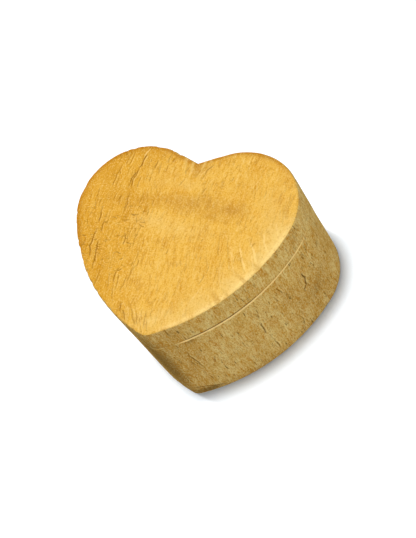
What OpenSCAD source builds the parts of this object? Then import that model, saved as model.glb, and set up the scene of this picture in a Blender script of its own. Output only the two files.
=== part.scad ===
// Wind-up music box: a heart-shaped wooden case with a hinged lid and an 18-note movement.
// Origin: middle of the footprint, on the surface the box stands on. +Z is up and the heart's tip points to -Y.
// Millimetres and degrees throughout.

/* [Heart outline] */
// Radius of the rounded tip
tip_r = 7; // [6.9:0.1:7.5]
// Radius of the long sides
side_r = 96.7; // [96:0.1:98]
// Radius of the two lobes
lobe_r = 33; // [32.5:0.1:33.5]
// Radius of the nearly straight slopes that run into the cleft
cleft_r = 400; // [350:10:450]
// Heading of the outline where the tip meets the side
side_heading = 22; // [21.5:0.1:22.5]
// Heading of the outline where the side meets the lobe
lobe_heading = 72; // [71.5:0.1:72.5]
// Heading of the outline where the lobe meets the cleft slope
cleft_heading = 201.6; // [201:0.1:202]

/* [Case] */
// Height of the wood, from its lower edge to the lid's shoulder
wood_h = 71.9; // [71:0.1:75]
// Height of the lid's side
lid_h = 15.7; // [15:0.1:17]
// Rise of the lid's crown above its shoulder
crown_h = 2.4; // [1:0.2:4]
// Radius of the lid's shoulder
shoulder_r = 1.6; // [1:0.1:2.4]
// Thickness of the case wall
wall = 6.5; // [6.2:0.1:6.6]
// Depth of the hollow inside the lid
lid_hollow = 8; // [7.6:0.2:9]
// Depth of the round recess for the key
recess_h = 13; // [12.8:0.1:13]
// Radius of the round recess for the key
recess_r = 24; // [23.5:0.5:25]
// Thickness of the wood between the key recess and the movement
floor_t = 5; // [4.5:0.5:5]

/* [Linings] */
// Thickness of the felt under the base
base_felt_t = 0.6; // [0.4:0.1:0.8]
// Thickness of the felt inside the case and the lid
felt_t = 0.8; // [0.6:0.1:0.8]

/* [Hinges] */
// Radius of the hinge knuckles
knuckle_r = 1.4; // [1.2:0.1:1.4]
// Distance from the back of the lobes to the hinge pins
hinge_gap = 1.6; // [1.6:0.1:2]
// Width of each hinge
hinge_w = 12; // [10:1:12]
// Height of each hinge leaf
leaf_h = 9; // [8:0.5:10]

/* [Movement] */
// Radius of the cylinder, without its pins
cylinder_r = 6.3; // [6:0.1:6.3]
// How far the pins stand out of the cylinder
pin_out = 0.5; // [0.4:0.05:0.5]
// Pins for each note
pins_per_note = 4; // [3:1:5]
// Diameter of the winding key's wings
key_wing_d = 10.4; // [9:0.2:10.6]

/* [Hidden] */
$fn = 48;

running = 0.04;       // radial clearance of a shaft in its bearing

// ---- Heart outline: four arcs a side, each tangent to the next ----

tip_n = 5;
side_n = 14;
lobe_n = 26;
cleft_n = 2;

function along(heading) = [sin(heading), -cos(heading)];
tip_c = [0, tip_r];
side_c = tip_c + (tip_r - side_r) * along(side_heading);
lobe_c = side_c + (side_r - lobe_r) * along(lobe_heading);
cleft_c = lobe_c + (lobe_r - cleft_r) * along(cleft_heading);

heart_l = lobe_c.y + lobe_r;
box_l = heart_l + hinge_gap + knuckle_r;
front_y = -box_l / 2;

function arc(centre, r, from, to, n) = [for (i = [0:n - 1]) centre + r * along(from + (to - from) * i / n)];

// Right half of the outline, moved inwards by inset, from the tip to the cleft.
function half_heart(inset) =
    let (
        has_tip = inset < tip_r,
        side_from = has_tip ? side_heading : asin(-side_c.x / (side_r - inset)),
        cleft_to = 180 + asin(cleft_c.x / (cleft_r - inset))
    )
    [
        each (has_tip ? arc(tip_c, tip_r - inset, 0, side_heading, tip_n) : []),
        each arc(side_c, side_r - inset, side_from, lobe_heading, side_n),
        each arc(lobe_c, lobe_r - inset, lobe_heading, cleft_heading, lobe_n),
        each arc(cleft_c, cleft_r - inset, cleft_heading, cleft_to, cleft_n),
        cleft_c + (cleft_r - inset) * along(cleft_to)
    ];

function heart(inset) =
    let (half = half_heart(inset), n = len(half))
    [
        for (p = half) [p.x, p.y + front_y],
        for (i = [n - 2:-1:1]) [-half[i].x, half[i].y + front_y]
    ];

module heart_prism(inset, from_z, to_z)
    translate([0, 0, from_z]) linear_extrude(to_z - from_z) polygon(heart(inset));

// ---- Levels and places ----

wood_z = base_felt_t;
recess_top = wood_z + recess_h;
floor_z = recess_top + floor_t;
shoulder_z = wood_z + wood_h;
seam_z = shoulder_z - lid_h;
seam_gap = 0.1;
lid_z = seam_z + seam_gap;
lid_hollow_z = lid_z + lid_hollow;

hinge_x = lobe_c.x;
back_y = front_y + heart_l;
hinge_y = back_y + hinge_gap;
hinge_z = seam_z + seam_gap / 2;
hinge_pin_r = 0.6;
leaf_t = 0.7;
mortise_y = back_y - leaf_t;
screw_out = 0.4;      // height of a pan head

arbor_x = -15.4;
axis_y = 17.8;        // the cylinder and the winding arbor are in one plane
arbor_r = 1.8;
bed_x = 28.5;         // half the bedplate's length
bed_front = -11.2;
bed_back = 30.8;
bed_t = 2;
bed_z = floor_z + bed_t;
bed_screws = [[-25, -1], [2, 27], [2, 6.5]];

cup_r = 10.6;
cup_h = 6.8;
cup_t = 0.6;
main_z = bed_z + cup_h + 0.6;
main_web = 1.2;
crown_in = 10.3;
crown_out = 12.7;
crown_pitch_r = 11.5;
crown_tooth_h = 1.1;

// Wheel work: teeth, modules and axes. Every arbor of it lies along X.
main_teeth = 48;
drive_teeth = 16;
drive_m = 2 * crown_pitch_r / main_teeth;
drive_x = arbor_x + crown_in - 0.2;
drive_tip_r = drive_m * (drive_teeth / 2 + 0.75);
cyl_z = main_z + main_web + 0.25 + drive_tip_r;

wheel_teeth = 44;
pinion_teeth = 12;
wheel_m = 0.3;
second_teeth = 40;
second_m = 0.25;
worm_teeth = 24;
worm_m = 0.3;
mesh_play = 0.05;
second_d = wheel_m * (wheel_teeth + pinion_teeth) / 2 + mesh_play;
second_drop = 18;     // slope from the cylinder's axis down to the second arbor
second_at = [axis_y - second_d * cos(second_drop), cyl_z - second_d * sin(second_drop)];
third_d = second_m * (second_teeth + pinion_teeth) / 2 + mesh_play;
third_drop = 10;
third_at = second_at - third_d * [cos(third_drop), sin(third_drop)];
worm_wheel_r = worm_m * worm_teeth / 2;
worm_r = 0.95;
worm_swing = 0.3;     // how far the worm's round section is off its axis
worm_pitch = 2 * PI * worm_wheel_r / worm_teeth;
worm_y = third_at.x - worm_wheel_r - worm_r - 0.1;
worm_x = 25.7;

cyl_x = -0.5;         // left end of the cylinder
cyl_l = 20;
note_n = 18;
note_pitch = 1;
first_note = 1;
cyl_arbor_r = 0.8;
fine_r = 0.5;         // second arbor, third arbor and worm shaft
bridge_x = cyl_x - 1.8;
plate_t = 1.4;
frame_x = 20;         // inner plate of the governor frame
outer_x = 27.1;       // outer plate of the governor frame
frame_front = -4.4;
cyl_wheel_x = frame_x + plate_t + 0.6;
second_wheel_x = 23.6;
worm_wheel_x = worm_x - 0.5;

comb_t = 1;
comb_z = cyl_z - comb_t / 2;
comb_tip_y = axis_y - cylinder_r - pin_out - 0.06;
comb_back_y = -9.4;
comb_x = [-0.4, 19.4];
slot_w = 0.25;

fan_z = 38.2;
fan_h = 3;
fan_r = 3.5;
disc_r = 3.2;
disc_t = 0.5;
disc_z = fan_z + fan_h;
pad_t = 0.6;
pad_z = disc_z + disc_t + 0.08;
lever_z = pad_z + pad_t;
lever_t = 1.2;
lever_w = 1.6;
lever_x = 25.2;
pivot_y = 14.8;
pivot_z = lever_z + lever_t / 2;
pivot_r = 0.6;
pad_y = worm_y + 2.2;
stop_y = 7.8;
stop_r = 0.8;
stop_z = lever_z + lever_t + 0.05;
stop_top = lid_hollow_z - felt_t - 0.3;

housing_x = 30;       // half the inner length
housing_front = -12.4;
housing_back = 31.4;
housing_t = 2;
window_z = 47.5;
window_t = 2;
housing_top = window_z + window_t;
rebate = 1;
post = 5;
window_screw_at = [
    for (x = [-housing_x + post / 2, housing_x - post / 2])
        for (y = [housing_front + post / 2, housing_back - post / 2]) [x, y]
];

// ---- Shared shapes ----

module tube(outer, inner, h) {
    difference() {
        cylinder(r = outer, h = h);
        translate([0, 0, -1]) cylinder(r = inner, h = h + 2);
    }
}

// Child built along +Z, laid along +X from x at the given [y, z]. Its own +X then points down.
module lay(x, at) translate([x, at.x, at.y]) rotate([0, 90, 0]) children();

module rounded_rect(size, r) {
    translate([r, 0]) square([size.x - 2 * r, size.y]);
    translate([0, r]) square([size.x, size.y - 2 * r]);
    for (x = [r, size.x - r])
        for (y = [r, size.y - r])
            translate([x, y]) circle(r);
}

function polar(r, a) = [r * cos(a), r * sin(a)];

// Straight-flanked tooth outline. Angles from the wheel's own +X, with a tooth centred on phase.
function toothed(teeth, m, phase) =
    let (pitch_r = m * teeth / 2, step = 360 / teeth)
    [
        for (i = [0:teeth - 1])
            for (c = [[-0.24, -1.15], [-0.09, 0.8], [0.09, 0.8], [0.24, -1.15]])
                polar(pitch_r + c[1] * m, phase + (i + c[0]) * step)
    ];

module spur(teeth, m, h, bore, phase = 0) {
    difference() {
        linear_extrude(h) polygon(toothed(teeth, m, phase));
        translate([0, 0, -1]) cylinder(r = bore, h = h + 2);
    }
}

// Slotted pan-head screw with its head above z = 0 and its shank below.
module pan_screw(head_r, head_h, shank_r, shank_l) {
    slot = head_r * 0.28;
    difference() {
        union() {
            cylinder(r = head_r, h = head_h);
            translate([0, 0, -shank_l]) cylinder(r = shank_r, h = shank_l + head_h / 2);
        }
        translate([-head_r - 1, -slot / 2, head_h * 0.5]) cube([2 * head_r + 2, slot, head_h]);
    }
}

module bore(r, from_z, to_z) translate([0, 0, from_z]) cylinder(r = r, h = to_z - from_z);

// ---- Case ----

leaf_screw_x = 3.4;
leaf_screw_z = 5.8;
leaf_screw_r = 0.7;
leaf_screw_l = 4;

// Both hinges' screws. side is 1 on the lid and -1 on the case.
module each_hinge_screw(side)
    for (x = [-hinge_x, hinge_x])
        for (dx = [-leaf_screw_x, leaf_screw_x])
            translate([x + dx, back_y, hinge_z + side * leaf_screw_z]) rotate([-90, 0, 0]) children();

// Flat seats for the leaves and the holes for their screws.
module hinge_seats(side) {
    for (x = [-hinge_x, hinge_x])
        translate([x - hinge_w / 2 - 0.05, mortise_y, hinge_z - leaf_h - 0.05])
            cube([hinge_w + 0.1, 4, 2 * leaf_h + 0.1]);
    each_hinge_screw(side) bore(leaf_screw_r, -leaf_screw_l - 0.2, 1);
}

module case_body() {
    color("peru")
    difference() {
        heart_prism(0, wood_z, seam_z);
        heart_prism(wall, floor_z, seam_z + 1);
        translate([arbor_x, axis_y, 0]) bore(recess_r, wood_z - 1, recess_top);
        translate([arbor_x, axis_y, 0]) bore(bush_r, recess_top - 1, floor_z + 1);
        for (p = bed_screws)
            translate([p.x, p.y, 0]) bore(bed_screw_r, recess_top - 1, floor_z + 1);
        hinge_seats(-1);
    }
}

module base_felt() {
    color("darkolivegreen")
    difference() {
        heart_prism(2, 0, base_felt_t);
        translate([arbor_x, axis_y, 0]) bore(recess_r, -1, 2);
    }
}

module housing_footprint()
    translate([-housing_x - housing_t, housing_front - housing_t])
        square([2 * (housing_x + housing_t), housing_back - housing_front + 2 * housing_t]);

module floor_lining() {
    color("maroon")
    difference() {
        heart_prism(wall, floor_z, floor_z + felt_t);
        translate([0, 0, floor_z - 1]) linear_extrude(felt_t + 2) housing_footprint();
    }
}

module wall_lining() {
    color("maroon")
    difference() {
        heart_prism(wall, floor_z + felt_t, seam_z - 3);
        heart_prism(wall + felt_t, floor_z, seam_z);
    }
}

module movement_housing() {
    inner = [2 * housing_x, housing_back - housing_front];
    color("burlywood")
    difference() {
        union() {
            difference() {
                translate([0, 0, floor_z]) linear_extrude(housing_top - floor_z) housing_footprint();
                translate([-housing_x, housing_front, floor_z - 1]) cube([inner.x, inner.y, 60]);
            }
            for (p = window_screw_at)
                translate([p.x - post / 2, p.y - post / 2, window_z - 7]) cube([post, post, 7]);
        }
        translate([-housing_x - rebate, housing_front - rebate, window_z])
            cube([inner.x + 2 * rebate, inner.y + 2 * rebate, 10]);
        for (p = window_screw_at)
            translate([p.x, p.y, 0]) bore(0.75, window_z - 5.2, housing_top + 1);
    }
}

module movement_window() {
    slack = 0.1;
    color([0.8, 0.9, 0.95, 0.35])
    difference() {
        translate([-housing_x - rebate + slack, housing_front - rebate + slack, window_z])
            cube([
                2 * (housing_x + rebate - slack),
                housing_back - housing_front + 2 * (rebate - slack),
                window_t
            ]);
        for (p = window_screw_at)
            translate([p.x, p.y, 0]) bore(0.75, window_z - 1, housing_top + 1);
        translate([lever_x, stop_y, 0]) bore(stop_r + 1, window_z - 1, housing_top + 1);
    }
}

module window_screws() {
    color("goldenrod")
    for (p = window_screw_at)
        translate([p.x, p.y, housing_top]) pan_screw(1.6, 0.9, 0.75, window_t + 5);
}

module stop_pin_bush() {
    color("goldenrod")
    translate([lever_x, stop_y, window_z])
    difference() {
        union() {
            cylinder(r = stop_r + 1, h = window_t);
            translate([0, 0, window_t]) cylinder(r = stop_r + 1.6, h = 0.6);
        }
        bore(stop_r + running, -1, window_t + 2);
    }
}

// ---- Hinges: the base leaf has the middle knuckle and the lid leaf the two outer ones ----

knuckle_gap = 0.1;
knuckle_w = (hinge_w - 2 * knuckle_gap) / 3;

// One leaf, drawn for side = 1, the lid; knuckles lists the left ends of its knuckles.
module leaf(side, knuckles, bore_r) {
    tab = 0.7;
    mirror([0, 0, side > 0 ? 0 : 1])
    difference() {
        union() {
            translate([-hinge_w / 2, mortise_y, knuckle_r - tab]) cube([hinge_w, leaf_t, leaf_h - knuckle_r + tab]);
            for (x = knuckles) {
                translate([x, mortise_y, knuckle_r - tab]) cube([knuckle_w, hinge_y - mortise_y, tab]);
                lay(x, [hinge_y, 0]) cylinder(r = knuckle_r, h = knuckle_w);
            }
        }
        lay(-hinge_w, [hinge_y, 0]) cylinder(r = bore_r, h = 2 * hinge_w);
        for (x = [-leaf_screw_x, leaf_screw_x])
            translate([x, mortise_y - 1, leaf_screw_z]) rotate([-90, 0, 0]) cylinder(r = leaf_screw_r, h = 4);
    }
}

module each_hinge() for (x = [-hinge_x, hinge_x]) translate([x, 0, hinge_z]) children();

module hinge_base_leaves() {
    color("darkgoldenrod")
    each_hinge() leaf(-1, [-knuckle_w / 2], hinge_pin_r);
}

module hinge_pins() {
    color("goldenrod")
    each_hinge() lay(-hinge_w / 2 - 0.2, [hinge_y, 0]) cylinder(r = hinge_pin_r, h = hinge_w + 0.4);
}

module leaf_screw() pan_screw(1.3, screw_out, leaf_screw_r, leaf_screw_l);

module hinge_base_screws() {
    color("goldenrod")
    each_hinge_screw(-1) leaf_screw();
}

module hinge_lid_leaves() {
    color("darkgoldenrod")
    each_hinge() leaf(1, [-hinge_w / 2, hinge_w / 2 - knuckle_w], hinge_pin_r + running);
}

module hinge_lid_screws() {
    color("goldenrod")
    each_hinge_screw(1) leaf_screw();
}

// ---- Lid ----

crown_centre = [0, front_y + 60];
function ring(inset, z) = [for (p = heart(inset)) [p.x, p.y, z]];
function crown_ring(s) = [
    for (p = heart(shoulder_r))
        [
            crown_centre.x + (p.x - crown_centre.x) * s,
            crown_centre.y + (p.y - crown_centre.y) * s,
            shoulder_z + crown_h * (1 - s * s)
        ]
];

// From the hollow's ceiling, down its wall, across the rim, up the side and over the crown.
lid_rings = [
    ring(wall, lid_hollow_z),
    ring(wall, lid_z),
    ring(0, lid_z),
    for (a = [0:30:90]) ring(shoulder_r * (1 - cos(a)), shoulder_z - shoulder_r * (1 - sin(a))),
    for (s = [0.85:-0.2:0.05]) crown_ring(s)
];

module loft(rings) {
    n = len(rings[0]);
    m = len(rings);
    polyhedron(
        points = [for (r = rings) each r],
        faces = [
            [for (i = [0:n - 1]) i],
            for (k = [0:m - 2])
                for (i = [0:n - 1])
                    let (a = k * n + i, b = k * n + (i + 1) % n) each [[a, a + n, b + n], [a, b + n, b]],
            [for (i = [n - 1:-1:0]) (m - 1) * n + i]
        ],
        convexity = 6
    );
}

module lid_shell() {
    color("goldenrod")
    difference() {
        loft(lid_rings);
        hinge_seats(1);
    }
}

module lid_lining() {
    color("maroon")
    heart_prism(wall + 0.2, lid_hollow_z - felt_t, lid_hollow_z);
}

// ---- Movement: what stays still ----

bush_r = 3.6;
bed_screw_r = 1.25;

module bedplate() {
    color("silver")
    difference() {
        translate([-bed_x, bed_front, floor_z])
            linear_extrude(bed_t) rounded_rect([2 * bed_x, bed_back - bed_front], 2.5);
        translate([arbor_x, axis_y, 0]) bore(bush_r, floor_z - 1, bed_z + 1);
        for (p = bed_screws)
            translate([p.x, p.y, 0]) bore(bed_screw_r, floor_z - 1, bed_z + 1);
        for (x = comb_screw_x)
            translate([x, comb_screw_y, 0]) bore(comb_screw_r, floor_z - 1, bed_z + 1);
        for (y = governor_screw_y)
            translate([governor_screw_x, y, 0]) bore(small_screw_r, floor_z - 1, bed_z + 1);
        translate([bridge_screw_x, axis_y, 0]) bore(small_screw_r, floor_z - 1, bed_z + 1);
    }
}

module movement_screws() {
    color("silver")
    for (p = bed_screws)
        translate([p.x, p.y, recess_top]) mirror([0, 0, 1]) pan_screw(2.5, 1.5, bed_screw_r, floor_t + bed_t);
}

module arbor_bush() {
    color("darkgoldenrod")
    translate([arbor_x, axis_y, recess_top]) tube(bush_r, arbor_r + running, floor_t + bed_t);
}

module spring_cup() {
    color("silver")
    translate([arbor_x, axis_y, bed_z])
    difference() {
        cylinder(r = cup_r, h = cup_h);
        bore(cup_r - cup_t, -1, cup_h - cup_t);
        bore(arbor_r + 0.3, cup_h - cup_t - 1, cup_h + 1);
    }
}

// Flat spiral strip, from the arbor out to the cup.
module mainspring() {
    turns = 6;
    steps = 20;
    strip = 0.35;
    start_r = arbor_r + 0.3;
    end_r = cup_r - cup_t - strip - 0.05;
    function at(i) = start_r + (end_r - start_r) * i / (turns * steps);
    last = turns * steps;
    color("slategray")
    translate([arbor_x, axis_y, bed_z + 0.6]) linear_extrude(cup_h - cup_t - 1.2)
        polygon([
            for (i = [0:last]) polar(at(i), 360 * i / steps),
            for (i = [last:-1:0]) polar(at(i) + strip, 360 * i / steps)
        ]);
}

comb_screw_x = [2.5, 9.5, 16.5];
comb_screw_y = -5.4;
comb_screw_r = 1;
small_screw_r = 0.7;
governor_screw_x = 24.2;
governor_screw_y = [-9, 13.6];
bridge_screw_x = 2.2;
foot_t = 1.2;

module comb_base() {
    color("silver")
    difference() {
        translate([comb_x[0], comb_back_y, bed_z])
            cube([comb_x[1] - comb_x[0], 8, comb_z - bed_z]);
        for (x = comb_screw_x)
            translate([x, comb_screw_y, 0]) bore(comb_screw_r, bed_z - 1, comb_z + 1);
    }
}

// Steel plate with one tooth to a note. The slots get longer towards the bass, on the left.
module comb() {
    function slot_l(i) = 13 - 4.5 * i / note_n;
    color("lightsteelblue")
    difference() {
        translate([comb_x[0], comb_back_y, comb_z]) cube([comb_x[1] - comb_x[0], comb_tip_y - comb_back_y, comb_t]);
        for (i = [0:note_n])
            translate([first_note + (i - 0.5) * note_pitch - slot_w / 2, comb_tip_y - slot_l(i), comb_z - 1])
                cube([slot_w, slot_l(i) + 1, comb_t + 2]);
        for (x = [comb_x[0] - 1, first_note + (note_n - 0.5) * note_pitch])
            translate([x, comb_tip_y - slot_l(0), comb_z - 1])
                cube([first_note - note_pitch / 2 - comb_x[0] + 1, slot_l(0) + 1, comb_t + 2]);
        for (x = comb_screw_x)
            translate([x, comb_screw_y, 0]) bore(comb_screw_r, comb_z - 1, comb_z + comb_t + 1);
    }
}

module comb_screws() {
    top = comb_z + comb_t;
    color("slategray")
    for (x = comb_screw_x)
        translate([x, comb_screw_y, top]) pan_screw(2, 1.1, comb_screw_r, top - floor_z - 0.4);
}

module cylinder_bridge() {
    half = 4.5;
    color("silver")
    difference() {
        union() {
            translate([bridge_x, axis_y - half, bed_z]) cube([plate_t, 2 * half, cyl_z - bed_z]);
            lay(bridge_x, [axis_y, cyl_z]) cylinder(r = half, h = plate_t);
            translate([bridge_x, axis_y - half, bed_z]) cube([7, 2 * half, foot_t]);
        }
        lay(bridge_x - 1, [axis_y, cyl_z]) cylinder(r = cyl_arbor_r + running, h = plate_t + 2);
        translate([bridge_screw_x, axis_y, 0]) bore(small_screw_r, bed_z - 1, bed_z + foot_t + 1);
    }
}

module foot_screw() pan_screw(1.5, 1, small_screw_r, foot_t + bed_t - 0.2);

module bridge_screw() {
    color("slategray")
    translate([bridge_screw_x, axis_y, bed_z + foot_t]) foot_screw();
}

// Two plates on a common foot, with an ear for the lever's pivot and an arm for the worm's upper bearing.
module governor_frame() {
    inner_back = axis_y + 5;
    outer_back = second_at.x + 3;
    inner_top = cyl_z + 3.5;
    outer_top = 37.4;
    arm_t = 1.2;
    arm_r = 1.5;
    ear = 1.6;
    color("silver")
    difference() {
        union() {
            translate([frame_x, frame_front, bed_z]) cube([plate_t, inner_back - frame_front, inner_top - bed_z]);
            translate([frame_x, pivot_y - ear, inner_top - 1]) cube([plate_t, 2 * ear, pivot_z - inner_top + 1]);
            lay(frame_x, [pivot_y, pivot_z]) cylinder(r = ear, h = plate_t);
            translate([outer_x, frame_front, bed_z]) cube([plate_t, outer_back - frame_front, outer_top - bed_z]);
            translate([frame_x, frame_front, bed_z]) cube([outer_x - frame_x + 0.5, outer_back - frame_front, foot_t]);
            translate([governor_screw_x - 2.5, governor_screw_y[0] - 1.8, bed_z])
                cube([5, frame_front - governor_screw_y[0] + 2.8, foot_t]);
            translate([governor_screw_x - 2.5, outer_back - 1, bed_z])
                cube([5, governor_screw_y[1] - outer_back + 2.8, foot_t]);
            translate([worm_x, worm_y - arm_r, outer_top - arm_t]) cube([outer_x - worm_x + 0.5, 2 * arm_r, arm_t]);
            translate([worm_x, worm_y, outer_top - arm_t]) cylinder(r = arm_r, h = arm_t);
        }
        lay(frame_x - 1, [axis_y, cyl_z]) cylinder(r = cyl_arbor_r + running, h = plate_t + 2);
        lay(frame_x - 1, [pivot_y, pivot_z]) cylinder(r = pivot_r, h = plate_t + 2);
        for (at = [second_at, third_at])
            lay(frame_x - 1, at) cylinder(r = fine_r + running, h = outer_x - frame_x + plate_t + 2);
        translate([worm_x, worm_y, 0]) bore(fine_r + running, bed_z - 1, outer_top + 1);
        for (y = governor_screw_y)
            translate([governor_screw_x, y, 0]) bore(small_screw_r, bed_z - 1, bed_z + foot_t + 1);
    }
}

module governor_screws() {
    color("slategray")
    for (y = governor_screw_y)
        translate([governor_screw_x, y, bed_z + foot_t]) foot_screw();
}

module lever_pivot() {
    color("lightsteelblue")
    lay(frame_x - 0.3, [pivot_y, pivot_z]) cylinder(r = pivot_r, h = lever_x + lever_w / 2 + 0.5 - frame_x + 0.3);
}

// Torsion spring round the pivot: close turns with a leg at each end.
module lever_spring() {
    wire_r = 0.15;
    coil_r = 1.15;
    turns = 5;
    pitch = 0.26;
    x0 = frame_x + plate_t + 0.3;
    color("gray") {
        lay(x0, [pivot_y, pivot_z])
            rotate_extrude() for (i = [0:turns - 1]) translate([coil_r, i * pitch]) circle(wire_r, $fn = 16);
        for (i = [0, turns - 1])
            translate([x0 + i * pitch, pivot_y, pivot_z - coil_r]) rotate([90, 0, 0])
                cylinder(r = wire_r, h = 4, $fn = 16);
    }
}

// ---- Movement: winding arbor and what turns with it ----

key_hub_r = 3.4;
key_hub_z = 7;
key_t = 1.8;
key_wing_x = 9;
key_wing_z = 6.6;

module winding_key() {
    wing_r = key_wing_d / 2;
    color("gold")
    translate([arbor_x, axis_y, 0])
    difference() {
        union() {
            translate([0, 0, key_hub_z]) cylinder(r = key_hub_r, h = recess_top - 0.4 - key_hub_z);
            translate([0, key_t / 2, key_wing_z]) rotate([90, 0, 0]) linear_extrude(key_t) {
                difference() {
                    for (x = [-key_wing_x, key_wing_x]) translate([x, 0]) circle(wing_r);
                    for (x = [-key_wing_x, key_wing_x]) translate([x, 0]) circle(wing_r / 2.6);
                }
                translate([-5.5, -2.4]) square([11, 5.2]);
            }
        }
        bore(arbor_r, key_hub_z + 1, recess_top);
    }
}

module winding_arbor() {
    color("lightsteelblue")
    translate([arbor_x, axis_y, 0]) {
        bore(arbor_r, key_hub_z + 1, main_z);
        bore(arbor_r - 0.5, main_z - 1, main_z + main_web + 2.2);
    }
}

// Face wheel: its teeth stand up from the rim, and a gap points at the cylinder's pinion.
module main_wheel() {
    step = 360 / main_teeth;
    tooth_w = 2 * crown_pitch_r * sin(step * 0.18);
    tip_w = tooth_w / 2;
    color("darkgoldenrod")
    translate([arbor_x, axis_y, main_z]) {
        tube(crown_out, arbor_r - 0.5, main_web);
        for (i = [0:main_teeth - 1])
            rotate((i + 0.5) * step) translate([crown_in, 0, main_web]) rotate([90, 0, 90])
                linear_extrude(crown_out - crown_in - 0.05)
                    polygon([
                        [-tooth_w / 2, -0.1], [tooth_w / 2, -0.1], [tooth_w / 2, 0.3],
                        [tip_w / 2, crown_tooth_h], [-tip_w / 2, crown_tooth_h], [-tooth_w / 2, 0.3]
                    ]);
    }
}

ratchet_z = main_z + main_web + 0.1;
ratchet_t = 0.8;
ratchet_r = 5;

module ratchet_wheel() {
    teeth = 18;
    step = 360 / teeth;
    color("slategray")
    translate([arbor_x, axis_y, ratchet_z])
    difference() {
        linear_extrude(ratchet_t)
            polygon([for (i = [0:teeth - 1]) for (c = [[0, ratchet_r], [0.12, ratchet_r - 0.9]])
                polar(c[1], (i + c[0]) * step)]);
        bore(arbor_r - 0.5, -1, 2);
    }
}

click_at = [0, 7.4];

module click() {
    color("lightsteelblue")
    translate([arbor_x + click_at.x, axis_y + click_at.y, ratchet_z - 0.1])
    linear_extrude(ratchet_t) {
        circle(1.1);
        polygon([[-0.9, 0.6], [-0.3, -0.9], [2.1, -2.3], [2.3, -1.8]]);
    }
}

module click_spring() {
    color("slategray")
    translate([arbor_x, axis_y, ratchet_z - 0.1]) linear_extrude(ratchet_t)
        intersection() {
            difference() {
                circle(9.2);
                circle(8.85);
            }
            polygon([[0, 0], polar(14, 20), polar(14, 88)]);
        }
}

// ---- Movement: cylinder ----

module pinned_cylinder() {
    pin_r = 0.17;
    sink = 0.25;
    // Turns the pins of each note to places that share no plain pattern.
    function pin_angle(i, k) = i * 137.5 + k * 360 / pins_per_note + 26 * sin(i * 83 + k * 151);
    color("gold")
    lay(0, [axis_y, cyl_z]) {
        difference() {
            bore(cylinder_r, cyl_x, cyl_x + cyl_l);
            bore(cylinder_r - 0.6, cyl_x - 1, cyl_x + cyl_l + 1);
        }
        for (i = [0:note_n - 1])
            for (k = [0:pins_per_note - 1])
                translate([0, 0, first_note + i * note_pitch]) rotate([0, 90, pin_angle(i, k)])
                    translate([0, 0, cylinder_r - sink]) cylinder(r = pin_r, h = sink + pin_out, $fn = 16);
    }
}

module cylinder_ends() {
    cap_t = 1;
    color("darkgoldenrod")
    for (x = [cyl_x, cyl_x + cyl_l - cap_t])
        lay(x, [axis_y, cyl_z]) tube(cylinder_r - 0.6, cyl_arbor_r, cap_t);
}

module cylinder_arbor() {
    color("lightsteelblue")
    lay(0, [axis_y, cyl_z]) bore(cyl_arbor_r, drive_x - 0.4, cyl_wheel_x + 1.4);
}

module cylinder_pinion() {
    color("darkgoldenrod")
    lay(drive_x, [axis_y, cyl_z]) spur(drive_teeth, drive_m, 2.4, cyl_arbor_r);
}

// Angle, from straight down towards +Y, of the line from one axis to another.
function toward(from, to) = atan2(to.x - from.x, from.y - to.y);

cyl_at = [axis_y, cyl_z];

module cylinder_wheel() {
    color("gold")
    lay(cyl_wheel_x, cyl_at) spur(wheel_teeth, wheel_m, 1, cyl_arbor_r, toward(cyl_at, second_at));
}

// ---- Movement: governor train ----

module arbor_between_plates(at)
    lay(0, at) bore(fine_r, frame_x + 0.2, outer_x + plate_t - 0.2);

module second_arbor() {
    color("lightsteelblue")
    arbor_between_plates(second_at);
}

module second_pinion() {
    color("slategray")
    lay(cyl_wheel_x - 0.1, second_at)
        spur(pinion_teeth, wheel_m, 1.2, fine_r, toward(second_at, cyl_at) + 180 / pinion_teeth);
}

module second_wheel() {
    color("gold")
    lay(second_wheel_x, second_at) spur(second_teeth, second_m, 0.8, fine_r, toward(second_at, third_at));
}

module third_arbor() {
    color("lightsteelblue")
    arbor_between_plates(third_at);
}

module third_pinion() {
    color("slategray")
    lay(second_wheel_x - 0.1, third_at)
        spur(pinion_teeth, second_m, 1, fine_r, toward(third_at, second_at) + 180 / pinion_teeth);
}

module worm_wheel() {
    color("gold")
    lay(worm_wheel_x, third_at)
    difference() {
        linear_extrude(1)
            polygon([
                for (i = [0:worm_teeth - 1])
                    for (c = [[-0.2, -1.15], [-0.06, 0.9], [0.06, 0.9], [0.2, -1.15]])
                        polar(worm_wheel_r + c[1] * worm_m, -90 + (i + c[0]) * 360 / worm_teeth)
            ]);
        bore(fine_r, -1, 2);
    }
}

// The worm is a round section whose centre circles the shaft once a thread.
module worm_shaft() {
    turns = 5;
    worm_l = turns * worm_pitch;
    bottom = third_at.y - worm_l / 2;
    color("lightsteelblue")
    translate([worm_x, worm_y, 0]) {
        bore(fine_r, bed_z + 0.2, disc_z + disc_t + 0.4);
        translate([0, 0, bottom]) rotate(-90 - 180 * turns)
            linear_extrude(worm_l, twist = -360 * turns, slices = 12 * turns, $fn = 16)
                translate([worm_swing, 0]) circle(worm_r, $fn = 16);
    }
}

module air_fan() {
    color("silver")
    translate([worm_x, worm_y, fan_z])
    difference() {
        union() {
            cylinder(r = 1.1, h = fan_h);
            translate([-fan_r, -0.2, 0]) cube([2 * fan_r, 0.4, fan_h]);
        }
        bore(fine_r, -1, fan_h + 1);
    }
}

module brake_disc() {
    color("silver")
    translate([worm_x, worm_y, disc_z]) tube(disc_r, fine_r, disc_t);
}

// ---- Stop work: the closed lid holds the pin and the lever down on the brake disc ----

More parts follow.
